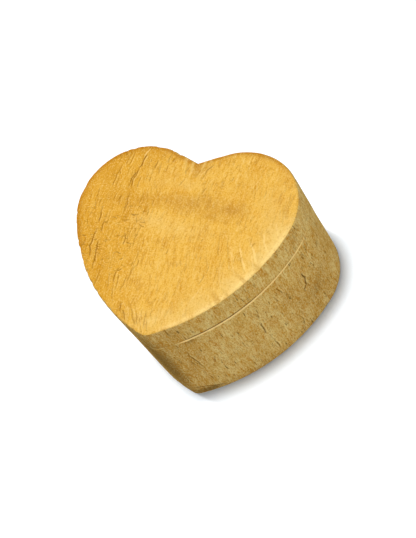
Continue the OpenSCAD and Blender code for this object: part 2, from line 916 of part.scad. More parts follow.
module stop_lever() {
    eye_r = 1.3;
    color("silver")
    difference() {
        union() {
            translate([lever_x - lever_w / 2, pad_y - 0.8, lever_z]) cube([lever_w, pivot_y - pad_y + 0.8, lever_t]);
            lay(lever_x - lever_w / 2, [pivot_y, pivot_z]) cylinder(r = eye_r, h = lever_w);
        }
        lay(lever_x - lever_w, [pivot_y, pivot_z]) cylinder(r = pivot_r + running, h = 2 * lever_w);
    }
}

module brake_pad() {
    color("saddlebrown")
    translate([lever_x, pad_y, pad_z]) cylinder(r = 0.75, h = pad_t);
}

module stop_pin() {
    cap_h = 2;
    color("lightsteelblue")
    translate([lever_x, stop_y, 0]) {
        bore(stop_r, stop_z, stop_top - 1);
        bore(stop_r + 0.5, stop_top - cap_h, stop_top);
    }
}

case_body();
base_felt();
floor_lining();
wall_lining();
movement_housing();
movement_window();
window_screws();
stop_pin_bush();
hinge_base_leaves();
hinge_pins();
hinge_base_screws();
lid_shell();
lid_lining();
hinge_lid_leaves();
hinge_lid_screws();
bedplate();
movement_screws();
arbor_bush();
spring_cup();
mainspring();
comb_base();
comb();
comb_screws();
cylinder_bridge();
bridge_screw();
governor_frame();
governor_screws();
lever_pivot();
lever_spring();
winding_key();
winding_arbor();
main_wheel();
ratchet_wheel();
click();
click_spring();
pinned_cylinder();
cylinder_ends();
cylinder_arbor();
cylinder_pinion();
cylinder_wheel();
second_arbor();
second_pinion();
second_wheel();
third_arbor();
third_pinion();
worm_wheel();
worm_shaft();
air_fan();
brake_disc();
stop_lever();
brake_pad();
stop_pin();
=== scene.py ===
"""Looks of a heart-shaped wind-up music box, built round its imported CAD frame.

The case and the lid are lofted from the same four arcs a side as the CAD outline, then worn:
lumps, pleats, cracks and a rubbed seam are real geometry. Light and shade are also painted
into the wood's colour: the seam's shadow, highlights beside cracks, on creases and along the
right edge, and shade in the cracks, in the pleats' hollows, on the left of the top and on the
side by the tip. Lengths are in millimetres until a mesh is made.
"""
import itertools
import math

import bmesh
import bpy
import numpy as np
from mathutils import Matrix, Vector


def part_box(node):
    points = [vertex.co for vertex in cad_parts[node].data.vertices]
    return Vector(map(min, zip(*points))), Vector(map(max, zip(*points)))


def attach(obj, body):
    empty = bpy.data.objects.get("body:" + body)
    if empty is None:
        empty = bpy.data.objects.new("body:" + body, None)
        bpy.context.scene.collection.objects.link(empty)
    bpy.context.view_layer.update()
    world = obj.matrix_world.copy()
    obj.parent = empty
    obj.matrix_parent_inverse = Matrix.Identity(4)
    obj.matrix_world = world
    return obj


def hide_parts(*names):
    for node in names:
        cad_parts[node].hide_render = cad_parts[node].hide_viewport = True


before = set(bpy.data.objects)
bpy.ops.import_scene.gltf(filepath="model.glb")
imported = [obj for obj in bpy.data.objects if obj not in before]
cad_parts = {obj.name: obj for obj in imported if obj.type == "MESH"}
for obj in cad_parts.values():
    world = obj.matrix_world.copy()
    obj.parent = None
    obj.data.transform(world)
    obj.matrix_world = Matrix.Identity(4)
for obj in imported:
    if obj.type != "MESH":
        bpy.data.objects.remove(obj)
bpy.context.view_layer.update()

MM = 0.001


def node_box(name):
    """Lowest and highest corner of a CAD node, in millimetres."""
    low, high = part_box(name)
    return np.array(low) / MM, np.array(high) / MM


# ---- Sizes ----

CASE_LOW, CASE_HIGH = node_box("case_body")
LID_LOW, LID_HIGH = node_box("lid_shell")
LINING_LOW, LINING_HIGH = node_box("lid_lining")
FLOOR_LOW, FLOOR_HIGH = node_box("floor_lining")
WALL_LOW, WALL_HIGH = node_box("wall_lining")
FELT_LOW, FELT_HIGH = node_box("base_felt")
HOUSING_LOW, HOUSING_HIGH = node_box("movement_housing")
LEAF_LOW, LEAF_HIGH = node_box("hinge_base_leaves")
LID_LEAF_LOW, LID_LEAF_HIGH = node_box("hinge_lid_leaves")
KEY_LOW, KEY_HIGH = node_box("winding_key")
PAD_LOW, PAD_HIGH = node_box("brake_pad")
BUSH_LOW, BUSH_HIGH = node_box("arbor_bush")

WALL = 6.5            # thickness of the wood
CROWN = 2.4           # rise of the crown above the shoulder
SHOULDER_R = 1.6
SHOULDER_Z = LID_HIGH[2] - CROWN
LINING_T = LINING_HIGH[2] - LINING_LOW[2]
RECESS_R = 24
RECESS_TOP = KEY_HIGH[2] + 0.4
KEY_AT = (KEY_LOW[:2] + KEY_HIGH[:2]) / 2
BORE_R = (BUSH_HIGH[0] - BUSH_LOW[0]) / 2 + 0.03     # hole for the winding arbor's bush
HINGE_W = 12
HINGE_X = LEAF_HIGH[0] - HINGE_W / 2
LEAF_T = 0.7
SEAT_Y = CASE_HIGH[1] - LEAF_T
SEAT_SLACK = 0.45     # play round a hinge leaf in its seat

# Heart outline: the radii of its arcs, from the tip round the right side to the cleft, and the
# headings at which all but the first of them start.
TIP_R, SIDE_R, LOBE_R, CLEFT_R = 7, 96.7, 33, 400
SIDE_H, LOBE_H, CLEFT_H = 22, 72, 201.6
AROUND = 840          # points round the outline


def along(heading):
    """Unit vector at a heading in degrees: 0 points to the front and 90 to the right."""
    h = np.radians(heading)
    return np.stack([np.sin(h), -np.cos(h)], -1)


TIP_C = np.array([0, TIP_R])
SIDE_C = TIP_C + (TIP_R - SIDE_R) * along(SIDE_H)
LOBE_C = SIDE_C + (SIDE_R - LOBE_R) * along(LOBE_H)
CLEFT_C = LOBE_C + (LOBE_R - CLEFT_R) * along(CLEFT_H)


def cleft_end(inset):
    """Heading at which the cleft slope, moved inwards by inset, reaches the middle plane."""
    return 180 + math.degrees(math.asin(CLEFT_C[0] / (CLEFT_R - inset)))


def apex(inset):
    """Heading at which the side arc, moved inwards by inset, reaches the middle plane at the tip."""
    return math.degrees(math.asin(-SIDE_C[0] / (SIDE_R - inset)))


ARC_ENDS = [0, SIDE_H, LOBE_H, CLEFT_H, cleft_end(0)]
ARC_RADII = (TIP_R, SIDE_R, LOBE_R, CLEFT_R)
ARC_CENTRES = (TIP_C, SIDE_C, LOBE_C, CLEFT_C)
ARC_LENGTHS = [r * math.radians(b - a) for r, a, b in zip(ARC_RADII, ARC_ENDS, ARC_ENDS[1:])]
ARC_STARTS = np.concatenate([[0], np.cumsum(ARC_LENGTHS)])
HALF = ARC_STARTS[-1]


def heart(u, inset=0.0):
    """Points on the outline moved inwards by inset, and outward directions, for u from 0 to 1."""
    u = np.asarray(u, float)
    run = np.minimum(u, 1 - u) * 2 * HALF
    points = np.zeros(u.shape + (2,))
    outward = np.zeros(u.shape + (2,))
    for k, (centre, radius) in enumerate(zip(ARC_CENTRES, ARC_RADII)):
        here = (run >= ARC_STARTS[k]) & (run <= ARC_STARTS[k + 1] + 1e-9)
        start, end = ARC_ENDS[k], ARC_ENDS[k + 1]
        if inset >= TIP_R and k == 1:
            start = apex(inset)
        if k == 3:
            end = cleft_end(inset)
        share = (run[here] - ARC_STARTS[k]) / ARC_LENGTHS[k]
        away = along(start + (end - start) * share)
        points[here] = centre + (radius - inset) * away
        outward[here] = away
    if inset >= TIP_R:
        points[run < ARC_STARTS[1]] = SIDE_C + (SIDE_R - inset) * along(apex(inset))
    left = u > 0.5
    points[left, 0] *= -1
    outward[left, 0] *= -1
    points[..., 1] += CASE_LOW[1]
    return points, outward


U = np.arange(AROUND) / AROUND
RUN = U * 2 * HALF     # distance round the outline from the tip, up the right side first
FROM_TIP = np.minimum(RUN, 2 * HALF - RUN)
CIRCLE = np.stack([np.cos(2 * math.pi * U), np.sin(2 * math.pi * U)], -1) * HALF / math.pi


# ---- Lattice noise and wear ----

CRACK_STEP = 1.1                # length of the straight bits that a crack is made of
CRACK_WANDER = 0.22
# Painted highlights: each crack gets a pale line beside it, on the side that faces the light.
HIGHLIGHT_SHIFT = np.array([0.85, 0])         # pale lips lie on one side of a crack
TOP_HIGHLIGHT_SHIFT = np.array([0.85, -0.2])
UNWORN = 500.0                  # a height with no cracks and no stains


def lumps(points, size, seed):
    """Smooth noise from -1 to 1 at points (..., 3), with features about size millimetres across."""
    n = 32
    table = np.random.default_rng(seed).uniform(-1, 1, (n, n, n))
    q = points / size
    cell = np.floor(q).astype(int)
    f = q - cell
    f = f * f * (3 - 2 * f)
    out = np.zeros(points.shape[:-1])
    for corner in itertools.product((0, 1), repeat=3):
        weight = np.prod(np.where(corner, f, 1 - f), -1)
        i = (cell + corner) % n
        out += weight * table[i[..., 0], i[..., 1], i[..., 2]]
    return out


def smooth(x, low, high):
    t = np.clip((x - low) / (high - low), 0, 1)
    return t * t * (3 - 2 * t)


def crack_path(points, seed):
    """A polyline cut into short steps that wander like a split in wood."""
    points = np.array(points, float)
    steps = [points[:1]]
    for a, b in zip(points, points[1:]):
        n = max(2, int(np.linalg.norm(b - a) / CRACK_STEP))
        steps.append(a + (b - a) * (np.arange(1, n + 1) / n)[:, None])
    path = np.concatenate(steps)
    drift = np.random.default_rng(seed).normal(0, CRACK_WANDER, path.shape)
    drift[0] = drift[-1] = 0
    return path + (drift + np.roll(drift, 1, 0)) / 2


def crack_mask(at, cracks):
    """From 0 to 1, how much each point of at (..., 2) lies in a crack."""
    mask = np.zeros(at.shape[:-1])
    for k, (points, width, strength) in enumerate(cracks):
        path = crack_path(points, 100 + k)
        low, high = path.min(0) - 3 * width, path.max(0) + 3 * width
        near = np.all((at >= low) & (at <= high), -1)
        if not near.any():
            continue
        p = at[near]
        best = np.full(len(p), np.inf)
        place = np.zeros(len(p))
        for j, (a, b) in enumerate(zip(path, path[1:])):
            e = b - a
            t = np.clip(((p - a) @ e) / max(e @ e, 1e-9), 0, 1)
            d = np.linalg.norm(p - a - t[:, None] * e, axis=1)
            closer = d < best
            best[closer] = d[closer]
            place[closer] = ((j + t) / (len(path) - 1))[closer]
        broken = np.random.default_rng(300 + k).uniform(0.62, 1, max(3, len(path) // 3))
        taper = np.minimum(1, np.minimum(place, 1 - place) * 5 + 0.2)
        taper = taper * np.interp(place, np.linspace(0, 1, len(broken)), broken)
        width_here = width * (0.6 + 0.4 * taper)
        mask[near] = np.maximum(mask[near], strength * taper * np.exp(-((best / width_here) ** 2)))
    return mask


def scattered(count, seed, low, high, length, heading, spread, strength=(0.25, 0.7)):
    """Short random cracks with their middles between low and high, running near heading."""
    rng = np.random.default_rng(seed)
    cracks = []
    for _ in range(count):
        middle = rng.uniform(low, high)
        angle = math.radians(rng.normal(heading, spread))
        half = rng.uniform(*length) / 2
        step = half * np.array([math.cos(angle), math.sin(angle)])
        bend = rng.normal(0, half * 0.12, 2)
        points = [middle - step, middle + bend, middle + step]
        cracks.append((points, rng.uniform(0.22, 0.34), rng.uniform(*strength)))
    return cracks


# Splits and creases listed one by one, as (points, width, strength).
# On the top a point is (x, y). On the side it is (distance from the tip up the right side, height).
TOP_CRACKS = [
    ([(-29, 45), (-30, 40), (-30.5, 35)], 0.4, 1.0), ([(-30.5, 36), (-31.5, 29), (-31.2, 24)], 0.4, 1.0),
    ([(-31.5, 34), (-33, 27)], 0.36, 0.9), ([(-31.5, 23), (-30, 15), (-31, 8)], 0.34, 0.7),
    ([(-26, 41), (-25.5, 36)], 0.3, 0.5), ([(-22, 38), (-22.5, 32)], 0.28, 0.4),
    ([(-41, 38), (-42, 32), (-42.5, 24)], 0.36, 0.9), ([(-44, 13), (-43, 3)], 0.34, 0.8),
    ([(-43.4, 1), (-44, -9), (-42, -17)], 0.36, 1.0), ([(-40, 11), (-40.5, 2), (-40.2, -3)], 0.34, 0.8),
    ([(-40.2, -5), (-40, -11), (-38, -19)], 0.34, 0.9), ([(-36, 0), (-35.5, -8)], 0.3, 0.6),
    ([(-33, 1), (-34, -7)], 0.3, 0.5), ([(-26, -1), (-25, -8)], 0.36, 0.9),
    ([(-24.5, -2), (-23.5, -7)], 0.3, 0.6), ([(-15, -9), (-16, -18), (-17, -28)], 0.3, 0.5),
    ([(-28.5, -22), (-27, -31)], 0.32, 0.6), ([(-25, -24), (-24, -31), (-22, -38)], 0.32, 0.6),
    ([(-19, -27), (-20, -33)], 0.28, 0.4), ([(-3, 39.5), (-4.5, 36), (-4, 34)], 0.55, 0.5),
    ([(10, 42), (7, 37), (6, 30)], 0.5, 0.6), ([(4, 39), (2.5, 35), (1, 32)], 0.4, 0.4),
    ([(12, 33), (9.5, 28)], 0.3, 0.4), ([(38, 32), (36.5, 27), (36, 22)], 0.3, 0.5),
    ([(42, 28), (41, 23)], 0.28, 0.35), ([(29, 5), (30.5, -4), (33, -12), (35.5, -19)], 0.34, 0.5),
    ([(24, 4), (26, -4), (27, -10)], 0.32, 0.5), ([(20, -5), (22, -14)], 0.3, 0.4),
    ([(36, -4), (39, -11), (43, -17)], 0.32, 0.4), ([(2, 4), (4, -6), (3, -13)], 0.26, 0.3),
    ([(-15, -41), (-12, -47)], 0.36, 0.7), ([(-11, -39), (-9, -44), (-6, -49)], 0.36, 0.8),
    ([(-7.5, -41), (-4.5, -49)], 0.34, 0.7), ([(-2, -41), (-1.5, -49.5)], 0.32, 0.6),
    ([(4, -42), (4.5, -49)], 0.3, 0.5), ([(10, -36), (8, -44)], 0.32, 0.5),
    ([(17, -32), (13, -39)], 0.28, 0.35),
]
SIDE_CRACKS = [
    ([(0, 8.5), (6, 7), (12, 5), (18.5, 2.2)], 0.55, 0.9),
    ([(11.5, 49), (12, 40), (13, 33), (13.5, 27), (14.5, 22)], 0.42, 0.75),
    ([(10.5, 72), (11, 65)], 0.4, 0.7), ([(48.5, 51), (48.5, 45)], 0.36, 0.6),
    ([(51.5, 45), (50.5, 40)], 0.34, 0.75), ([(50, 37), (49.3, 31), (49.6, 25)], 0.36, 1.0),
    ([(49.6, 25), (50.4, 18), (50.8, 11), (50.6, 5)], 0.32, 0.8),
    ([(81, 42), (81.4, 36), (80.2, 31), (76.5, 28)], 0.5, 1.0),
    ([(75, 38), (74.5, 32), (76, 29.5)], 0.3, 0.35), ([(62.5, 47), (63.2, 40)], 0.42, 0.85),
    ([(66, 50), (67.5, 42)], 0.36, 0.7), ([(66, 23), (68.5, 14), (70.5, 5)], 0.36, 0.55),
    ([(69, 25), (72, 17)], 0.3, 0.45), ([(60, 39), (60.3, 30)], 0.3, 0.35),
    ([(42, 46), (42.4, 38)], 0.3, 0.4), ([(32, 39), (32.2, 34)], 0.36, 0.4),
    ([(34, 38), (33.8, 34)], 0.3, 0.3), ([(54, 67), (54.5, 63)], 0.34, 0.5),
    ([(46, 69), (46.2, 64)], 0.3, 0.45), ([(89, 68), (89.3, 60)], 0.34, 0.5),
    ([(100, 43), (100.6, 34)], 0.34, 0.5), ([(57, 21), (57.3, 5)], 0.26, 0.3),
    ([(31, 21), (32, 11)], 0.26, 0.3), ([(85, 24), (86, 12)], 0.3, 0.45), ([(92, 30), (93, 18)], 0.3, 0.4),
]
TOP_CRACKS += scattered(150, 3, (-54, -34), (-14, 46), (2, 10), 88, 5, (0.3, 0.8))
TOP_CRACKS += scattered(170, 4, (-52, -24), (-18, 14), (1, 4.5), 4, 18, (0.3, 0.75))
TOP_CRACKS += scattered(24, 8, (-48, 26), (-14, 46), (1, 4), 30, 25, (0.2, 0.5))
TOP_CRACKS += scattered(50, 5, (-16, -36), (48, 42), (2, 7), 76, 10)
TOP_CRACKS += scattered(16, 6, (-18, -50), (4, -38), (5, 10), 112, 6)
SIDE_CRACKS += scattered(260, 11, (0, 3), (355, 70), (2, 9), 90, 5)
SIDE_CRACKS += scattered(46, 12, (58, 5), (100, 40), (2, 5), 78, 14)

# Raised creases of the top, where its surface is drawn over the edge. They are also painted pale, as
# highlights.
TOP_CREASES = [
    ([(40, 1), (44, -5), (48, -12)], 0.55, 0.8), ([(42, -2), (47, -9)], 0.4, 0.5),
    ([(36, -2), (39, -9), (43, -16)], 0.5, 0.7), ([(46, 6), (49, -1), (52, -6)], 0.6, 0.7),
    ([(32, -4), (35, -13), (38, -19)], 0.45, 0.5), ([(43, -6), (46, -14)], 0.4, 0.6),
    ([(29, -10), (30, -19), (33, -26)], 0.45, 0.4), ([(51, 12), (54, 4)], 0.55, 0.5),
    ([(25, -22), (21, -30), (18, -37)], 0.5, 0.45), ([(29, -20), (27, -29)], 0.4, 0.35),
    ([(-28, 49), (-30, 44), (-29.5, 39)], 0.45, 0.7), ([(33, 27), (36, 33), (38, 37)], 0.38, 0.5),
    ([(31, 22), (33, 27)], 0.35, 0.45), ([(-16, -37), (-13, -42)], 0.35, 0.5),
    ([(-13, -39), (-10.5, -45)], 0.38, 0.6), ([(-9, -40), (-6.5, -47)], 0.4, 0.7),
    ([(-5.5, -41), (-3, -49)], 0.4, 0.65), ([(0.5, -40), (1.2, -48)], 0.4, 0.55),
    ([(3, -41), (3, -48)], 0.35, 0.4), ([(7, -38), (6, -46)], 0.4, 0.45),
    ([(-1, 39), (-1.5, 33)], 0.55, 0.5), ([(8.5, 41), (5, 35), (4.5, 30)], 0.4, 0.5),
]
TOP_CREASES += scattered(60, 9, (26, -36), (54, 2), (3, 9), 117, 9, (0.12, 0.5))

# Stains and painted light as (x, y, half width, half height, amount): above 0 they are pale
# and below 0 dark. On the top, the pale spots along the right edge are a painted highlight and
# the dark ones along the left edge painted shade. On the side, the tall dark bands by the tip
# are painted shade.
TOP_STAINS_AND_LIGHT = [
    (-16, 18, 18, 4.5, -0.45), (7, 18, 13, 6, -0.55), (28, 15.5, 8, 4, -0.7), (-29, 9, 4, 3, -0.5),
    (18, 11, 8, 3, -0.35), (-36, 19, 8, 6, -0.3), (-17, 7, 13, 4.5, 0.45), (4, 3, 15, 5, 0.3),
    (1, 27, 8, 4, 0.35), (3, 38, 5, 6, -0.45), (-17, 29, 8, 7, 0.2), (46, 18, 7, 12, 0.25),
    (53, 1, 6, 12, 0.9), (47, -11, 5, 9, 0.9), (38, -23, 7, 7, 0.8), (26, -34, 9, 6, 0.7),
    (12, -43, 9, 5, 0.6), (0, -47, 6, 5, 0.45), (-56, 15, 4, 18, -0.3), (-49, 35, 7, 9, -0.25),
    (-31, 47, 12, 4, -0.4), (-43, -3, 6, 18, -0.35), (-35, -23, 6, 10, -0.3), (-8, -25, 12, 8, 0.1),
]
SIDE_STAINS_AND_SHADE = [
    (-8, 36, 12, 60, -0.62), (-26, 36, 20, 60, -0.3), (4, 36, 11, 60, -0.45),
    (6, 38, 2.5, 20, 0.25), (10, 3, 9, 3, -0.7), (18, 55, 4, 3, -0.5), (12, 68, 3, 5, -0.35),
    (26, 62, 7, 5, 0.15), (53, 20, 4, 18, 0.45), (56, 48, 5, 8, 0.2), (23, 26, 8, 14, 0.2),
    (36, 3, 12, 2, -0.45), (78, 20, 11, 17, -0.55), (68, 34, 4, 10, -0.35), (90, 22, 9, 16, -0.45),
    (84, 50, 6, 8, 0.2), (104, 34, 9, 22, -0.35), (98, 62, 7, 8, 0.35), (88, 64, 4, 8, -0.4),
    (43, 12, 5, 12, -0.2), (33, 45, 8, 8, 0.05), (14, 46, 9, 22, -0.3),
]


def soft_spots(at, spots):
    """Sum of soft spots at points (..., 2), kept between -1 and 1."""
    total = np.zeros(at.shape[:-1])
    for x, y, half_x, half_y, amount in spots:
        away = ((at[..., 0] - x) / half_x) ** 2 + ((at[..., 1] - y) / half_y) ** 2
        total += amount * np.exp(-away)
    return np.clip(total, -1, 1)


def side_position(height):
    """(distance from the tip up the right side, height) of side rows.

    On the half of the left side next to the tip the distance is negative.
    """
    run = np.where(RUN > 1.5 * HALF, RUN - 2 * HALF, RUN)
    return np.stack(np.broadcast_arrays(run, height[:, None]), -1)


def wear_side(rows, height, depth=1.0):
    """Side rows (row, point, 3) pushed in and out by lumps, fibres and cracks.

    Returns the rows, and at each point the cracks, painted dark partly as shade, the painted
    highlights beside them, and the stains and painted shade.
    """
    _, outward = heart(U)
    at = side_position(height)
    crack_and_shade = crack_mask(at, SIDE_CRACKS)
    # Painted highlight beside each crack, on the side that faces the light.
    painted_highlight = np.clip(crack_mask(at - HIGHLIGHT_SHIFT, SIDE_CRACKS) - crack_and_shade, 0, 1)
    fibre = unroll(rows, 0.14 * height[:, None])
    push = 0.16 * lumps(rows, 17, 21) + 0.06 * lumps(rows, 4.5, 22) + 0.06 * lumps(fibre, 1.5, 23)
    foot = np.exp(-(height[:, None] - CASE_LOW[2]) / 1.8)
    chipped = foot * np.clip(lumps(rows, 3.4, 24) - 0.2, 0, 1)
    push = push - 0.34 * crack_and_shade - 0.7 * chipped
    worn_and_lit = rows.copy()
    worn_and_lit[..., :2] += outward * (push * depth)[..., None]
    return worn_and_lit, crack_and_shade, painted_highlight, soft_spots(at, SIDE_STAINS_AND_SHADE)


# ---- Mesh tools ----

def add(name, data):
    """A new object in the scene."""
    obj = bpy.data.objects.new(name, data)
    bpy.context.collection.objects.link(obj)
    return obj


def make_mesh(name, points, faces, attributes=None, sharp=40):
    """A mesh object from points in millimetres.

    attributes maps a name to one float, or one vector, for each point.
    """
    mesh = bpy.data.meshes.new(name)
    mesh.from_pydata((np.asarray(points) * MM).tolist(), [], [list(map(int, f)) for f in faces])
    for label, values in (attributes or {}).items():
        values = np.asarray(values, float)
        kind = "FLOAT" if values.ndim == 1 else "FLOAT_VECTOR"
        layer = mesh.attributes.new(label, kind, "POINT")
        layer.data.foreach_set("value" if values.ndim == 1 else "vector", values.ravel())
    mesh.validate()
    mesh.shade_smooth()
    mesh.set_sharp_from_angle(angle=math.radians(sharp))
    return add(name, mesh)


def quads(first, second, n):
    """Faces between two rings of n points whose first points are numbered first and second."""
    i = np.arange(n)
    j = (i + 1) % n
    return np.stack([first + i, first + j, second + j, second + i], -1).tolist()


def between_rows(count, n):
    """Faces between count rings of n points that follow each other."""
    return [face for k in range(count - 1) for face in quads(k * n, (k + 1) * n, n)]


def halving(first, second, n):
    """Faces between a ring of n points and an inner ring of half as many."""
    faces = []
    for k in range(n // 2):
        a, b, c = first + 2 * k, first + 2 * k + 1, first + (2 * k + 2) % n
        d, e = second + k, second + (k + 1) % (n // 2)
        faces += [[a, b, d], [b, e, d], [b, c, e]]
    return faces


def rings(inset_and_height):
    """Rows (row, point, 3): a ring for each (inset, height). An inset may be one number a point."""
    rows = []
    for inset, height in inset_and_height:
        if np.ndim(inset):
            outline, outward = heart(U)
            points = outline - outward * np.asarray(inset)[:, None]
        else:
            points, _ = heart(U, inset)
        rows.append(np.column_stack([points, np.broadcast_to(height, (AROUND,))]))
    return np.array(rows)


def unroll(rows, third):
    """Coordinates that close on themselves round the outline: a circle as long as it, and third."""
    shape = rows.shape[:2] + (1,)
    third = np.broadcast_to(third, rows.shape[:2]).reshape(shape)
    return np.concatenate([np.broadcast_to(CIRCLE, rows.shape[:2] + (2,)), third], -1)


def hinge_seat(points, low_z, high_z):
    """Presses flat seats for the hinge leaves into points on the backs of the lobes."""
    half = HINGE_W / 2 + SEAT_SLACK
    for x in (-HINGE_X, HINGE_X):
        here = (
            (abs(points[..., 0] - x) < half)
            & (points[..., 1] > SEAT_Y)
            & (points[..., 2] > low_z - SEAT_SLACK)
            & (points[..., 2] < high_z + SEAT_SLACK)
        )
        points[here, 1] = SEAT_Y - 0.03


# ---- Lid ----

def top_height(share):
    """Height of the crown at share of the way from its middle to the shoulder."""
    return SHOULDER_Z + CROWN * (1 - share**2)


CROWN_C = np.array([0, CASE_LOW[1] + 60])
FEWEST = 60           # rings with no more points than this aren't halved


def pleats(run):
    """Fine folds square to the edge of the top, strongest at the cleft and the tip."""
    angle = run / HALF * math.pi
    ring = np.stack([np.cos(angle), np.sin(angle), np.zeros_like(angle)], -1) * HALF / math.pi
    fold = lumps(ring, 2.4, 41) + 0.6 * lumps(ring, 1.1, 42)
    right = 0.7 * smooth(run, 10, 40) * (1 - smooth(run, 92, 112))
    cleft = 1.2 * np.exp(-(((run - HALF) / 14) ** 2))
    tip = 0.6 * np.exp(-((np.minimum(run, 2 * HALF - run) / 14) ** 2))
    back = 2 * HALF - run
    left = 0.3 * (1 - smooth(back, 80, 120)) * smooth(back, 20, 40)
    return fold * np.maximum.reduce([right, cleft, tip, left])


def dish(edge, first, step, last, halve_at):
    """Rings from edge, whose first point is numbered first, inwards to a last point at CROWN_C.

    Every so often a ring has half as many points as the one before. Returns the rings as
    (share of the way out, indices, flat points), and the faces.
    """
    index, count, start, total = np.arange(AROUND), AROUND, first, first + AROUND
    made, faces = [], []
    share = 1.0
    while share > last:
        share -= step
        halve = count > FEWEST and share < halve_at * count / AROUND
        if halve:
            index = index[::2]
        made.append((share, index, CROWN_C + (edge[index, :2] - CROWN_C) * share))
        faces += halving(start, total, count) if halve else quads(start, total, count)
        count, start, total = len(index), total, total + len(index)
    faces += [[start + i, start + (i + 1) % count, total] for i in range(count)]
    return made, faces


def build_lid():
    """The lid: ceiling of the hollow, its wall, the rim, the side, the shoulder and the crown."""
    ceiling = LINING_HIGH[2]
    rim = LID_LOW[2]
    edge = 0.22
    under = rings([
        (WALL, ceiling), (WALL, rim + 0.3), (WALL + 0.3, rim), (edge, rim), (0.06, rim + edge * 0.4),
    ])
    heights = np.linspace(rim + edge, SHOULDER_Z - SHOULDER_R, 32)
    side, side_crack_and_shade, side_highlight, side_tone = wear_side(rings([(0, z) for z in heights]), heights)
    turns = np.radians(np.linspace(11, 90, 8))
    fade = np.cos(turns)[:, None]
    rim_of_top = [
        (SHOULDER_R * (1 - math.cos(a)), SHOULDER_Z - SHOULDER_R * (1 - math.sin(a))) for a in turns
    ]
    shoulder, shoulder_crack, shoulder_highlight, shoulder_tone = wear_side(
        rings(rim_of_top), np.full(len(turns), heights[-1]), fade
    )
    # The left edge of the top is nibbled.
    _, outward = heart(U)
    left = smooth(RUN, 0.95 * HALF, 1.1 * HALF)
    for part, reach in (
        (side, smooth(heights, heights[-1] - 2.5, heights[-1])),
        (shoulder, np.ones(len(turns))),
    ):
        nibbled = np.clip(lumps(part * [1, 1, 0.4], 2.2, 26) - 0.05, 0, 1) * left
        part[..., :2] -= outward * (0.55 * nibbled * reach[:, None])[..., None]
    edge_ring = shoulder[-1]
    rows = np.concatenate([under, side, shoulder])
    hinge_seat(rows, LID_LEAF_LOW[2], LID_LEAF_HIGH[2])
    plain = np.zeros(under.shape[:2])
    points = [rows.reshape(-1, 3)]
    # The shadow in the seam is painted as a dark line along the sides, fading towards the tip and the
    # lobes.
    seam_shadow = 0.95 * smooth(FROM_TIP, 12, 20) * (1 - 0.6 * smooth(FROM_TIP, 48, 64))
    seam_shadow = seam_shadow * (1 - smooth(FROM_TIP, 78, 96))
    near_rim = np.clip(1 - (heights - heights[0]) / 1.1, 0, 1)[:, None] ** 0.7
    side_crack_and_shade = np.maximum(side_crack_and_shade, near_rim * seam_shadow)
    turned = np.broadcast_to(smooth(np.degrees(turns), 20, 62)[:, None], shoulder.shape[:2])
    inward = [np.zeros(rows[..., 0].size)]
    wraps = [unroll(rows, rows[..., 2]).reshape(-1, 3)]
    faces = [list(range(AROUND))[::-1]] + between_rows(len(rows), AROUND)

    made, more = dish(edge_ring, (len(rows) - 1) * AROUND, step=0.0085, last=0.03, halve_at=0.55)
    faces += more
    for share, index, flat in made:
        depth = (1 - share) * np.linalg.norm(edge_ring[index, :2] - CROWN_C, axis=1)
        points.append(np.column_stack([flat, np.full(len(index), top_height(share))]))
        inward.append(depth)
        wraps.append(np.column_stack([CIRCLE[index], SHOULDER_Z + depth]))
    points.append(np.array([[*CROWN_C, top_height(0)]]))
    wraps.append(np.array([[0, 0, SHOULDER_Z + 50]]))
    inward.append(np.array([50.0]))

    points, wraps, inward = np.concatenate(points), np.concatenate(wraps), np.concatenate(inward)

    def whole(*parts, on_crown=0):
        """One value for each point: those of the rows, and then on_crown."""
        values = np.concatenate(parts).ravel()
        return np.pad(values, (0, len(points) - len(values)), constant_values=on_crown)

    top = whole(plain, np.zeros_like(side_crack_and_shade), turned, on_crown=1)
    crown = top * smooth(inward, 0, 1.2)
    at = points[:, :2]
    split = crack_mask(at, TOP_CRACKS) * top
    crease = crack_mask(at, TOP_CREASES) * top
    # Painted highlights beside the top's cracks, on the side facing the light, and along its raised
    # creases.
    split_highlight = 0.7 * crack_mask(at - TOP_HIGHLIGHT_SHIFT, TOP_CRACKS) * top
    split_highlight = np.clip(np.maximum(split_highlight, 1.25 * crease) - split, 0, 1)
    run = (np.degrees(np.arctan2(wraps[:, 1], wraps[:, 0])) % 360) / 180 * HALF
    # The pleats are raised and sunk, and also painted: pale on their ridges as highlight and dark in their
    # hollows as shade.
    fold = pleats(run) * np.exp(-inward / 9) * top
    fibre = lumps(points * [1, 0.13, 1], 1.3, 32)
    points[:, 2] += crown * (0.12 * lumps(points, 14, 31) + 0.07 * fibre)
    points[:, 2] += 0.13 * crease + 0.1 * fold - 0.3 * split
    lively = 0.75 + 0.3 * smooth(-at[:, 0], 12, 30) + 0.2 * (1 - smooth(inward, 2, 12))
    # Painted light at the top's rim: shade from the right lobe over the cleft and down the left side.
    # Along the right side, from the tip to the lobe, a pale band that is partly worn and partly a painted
    # highlight.
    shaded = smooth(run, 108, 140) * (1 - smooth(run, 2 * HALF - 80, 2 * HALF - 45))
    worn_and_lit = smooth(run, 2, 16) * (1 - smooth(run, 82, 104))
    near = 0.5 * np.exp(-inward / 1.2) + 0.16 * np.exp(-inward / 5)
    patchy = 0.8 + 0.5 * lumps(wraps, 6, 43) + 0.5 * fold
    rim_light_and_shade = top * near * (shaded - 1.15 * worn_and_lit * patchy)
    # Painted shade: the left of the top, which turns from the light, is deepened towards honey, most near
    # its edge.
    left_shade = top * smooth(-at[:, 0], 2, 34) * (0.7 + 0.3 * np.exp(-inward / 8))
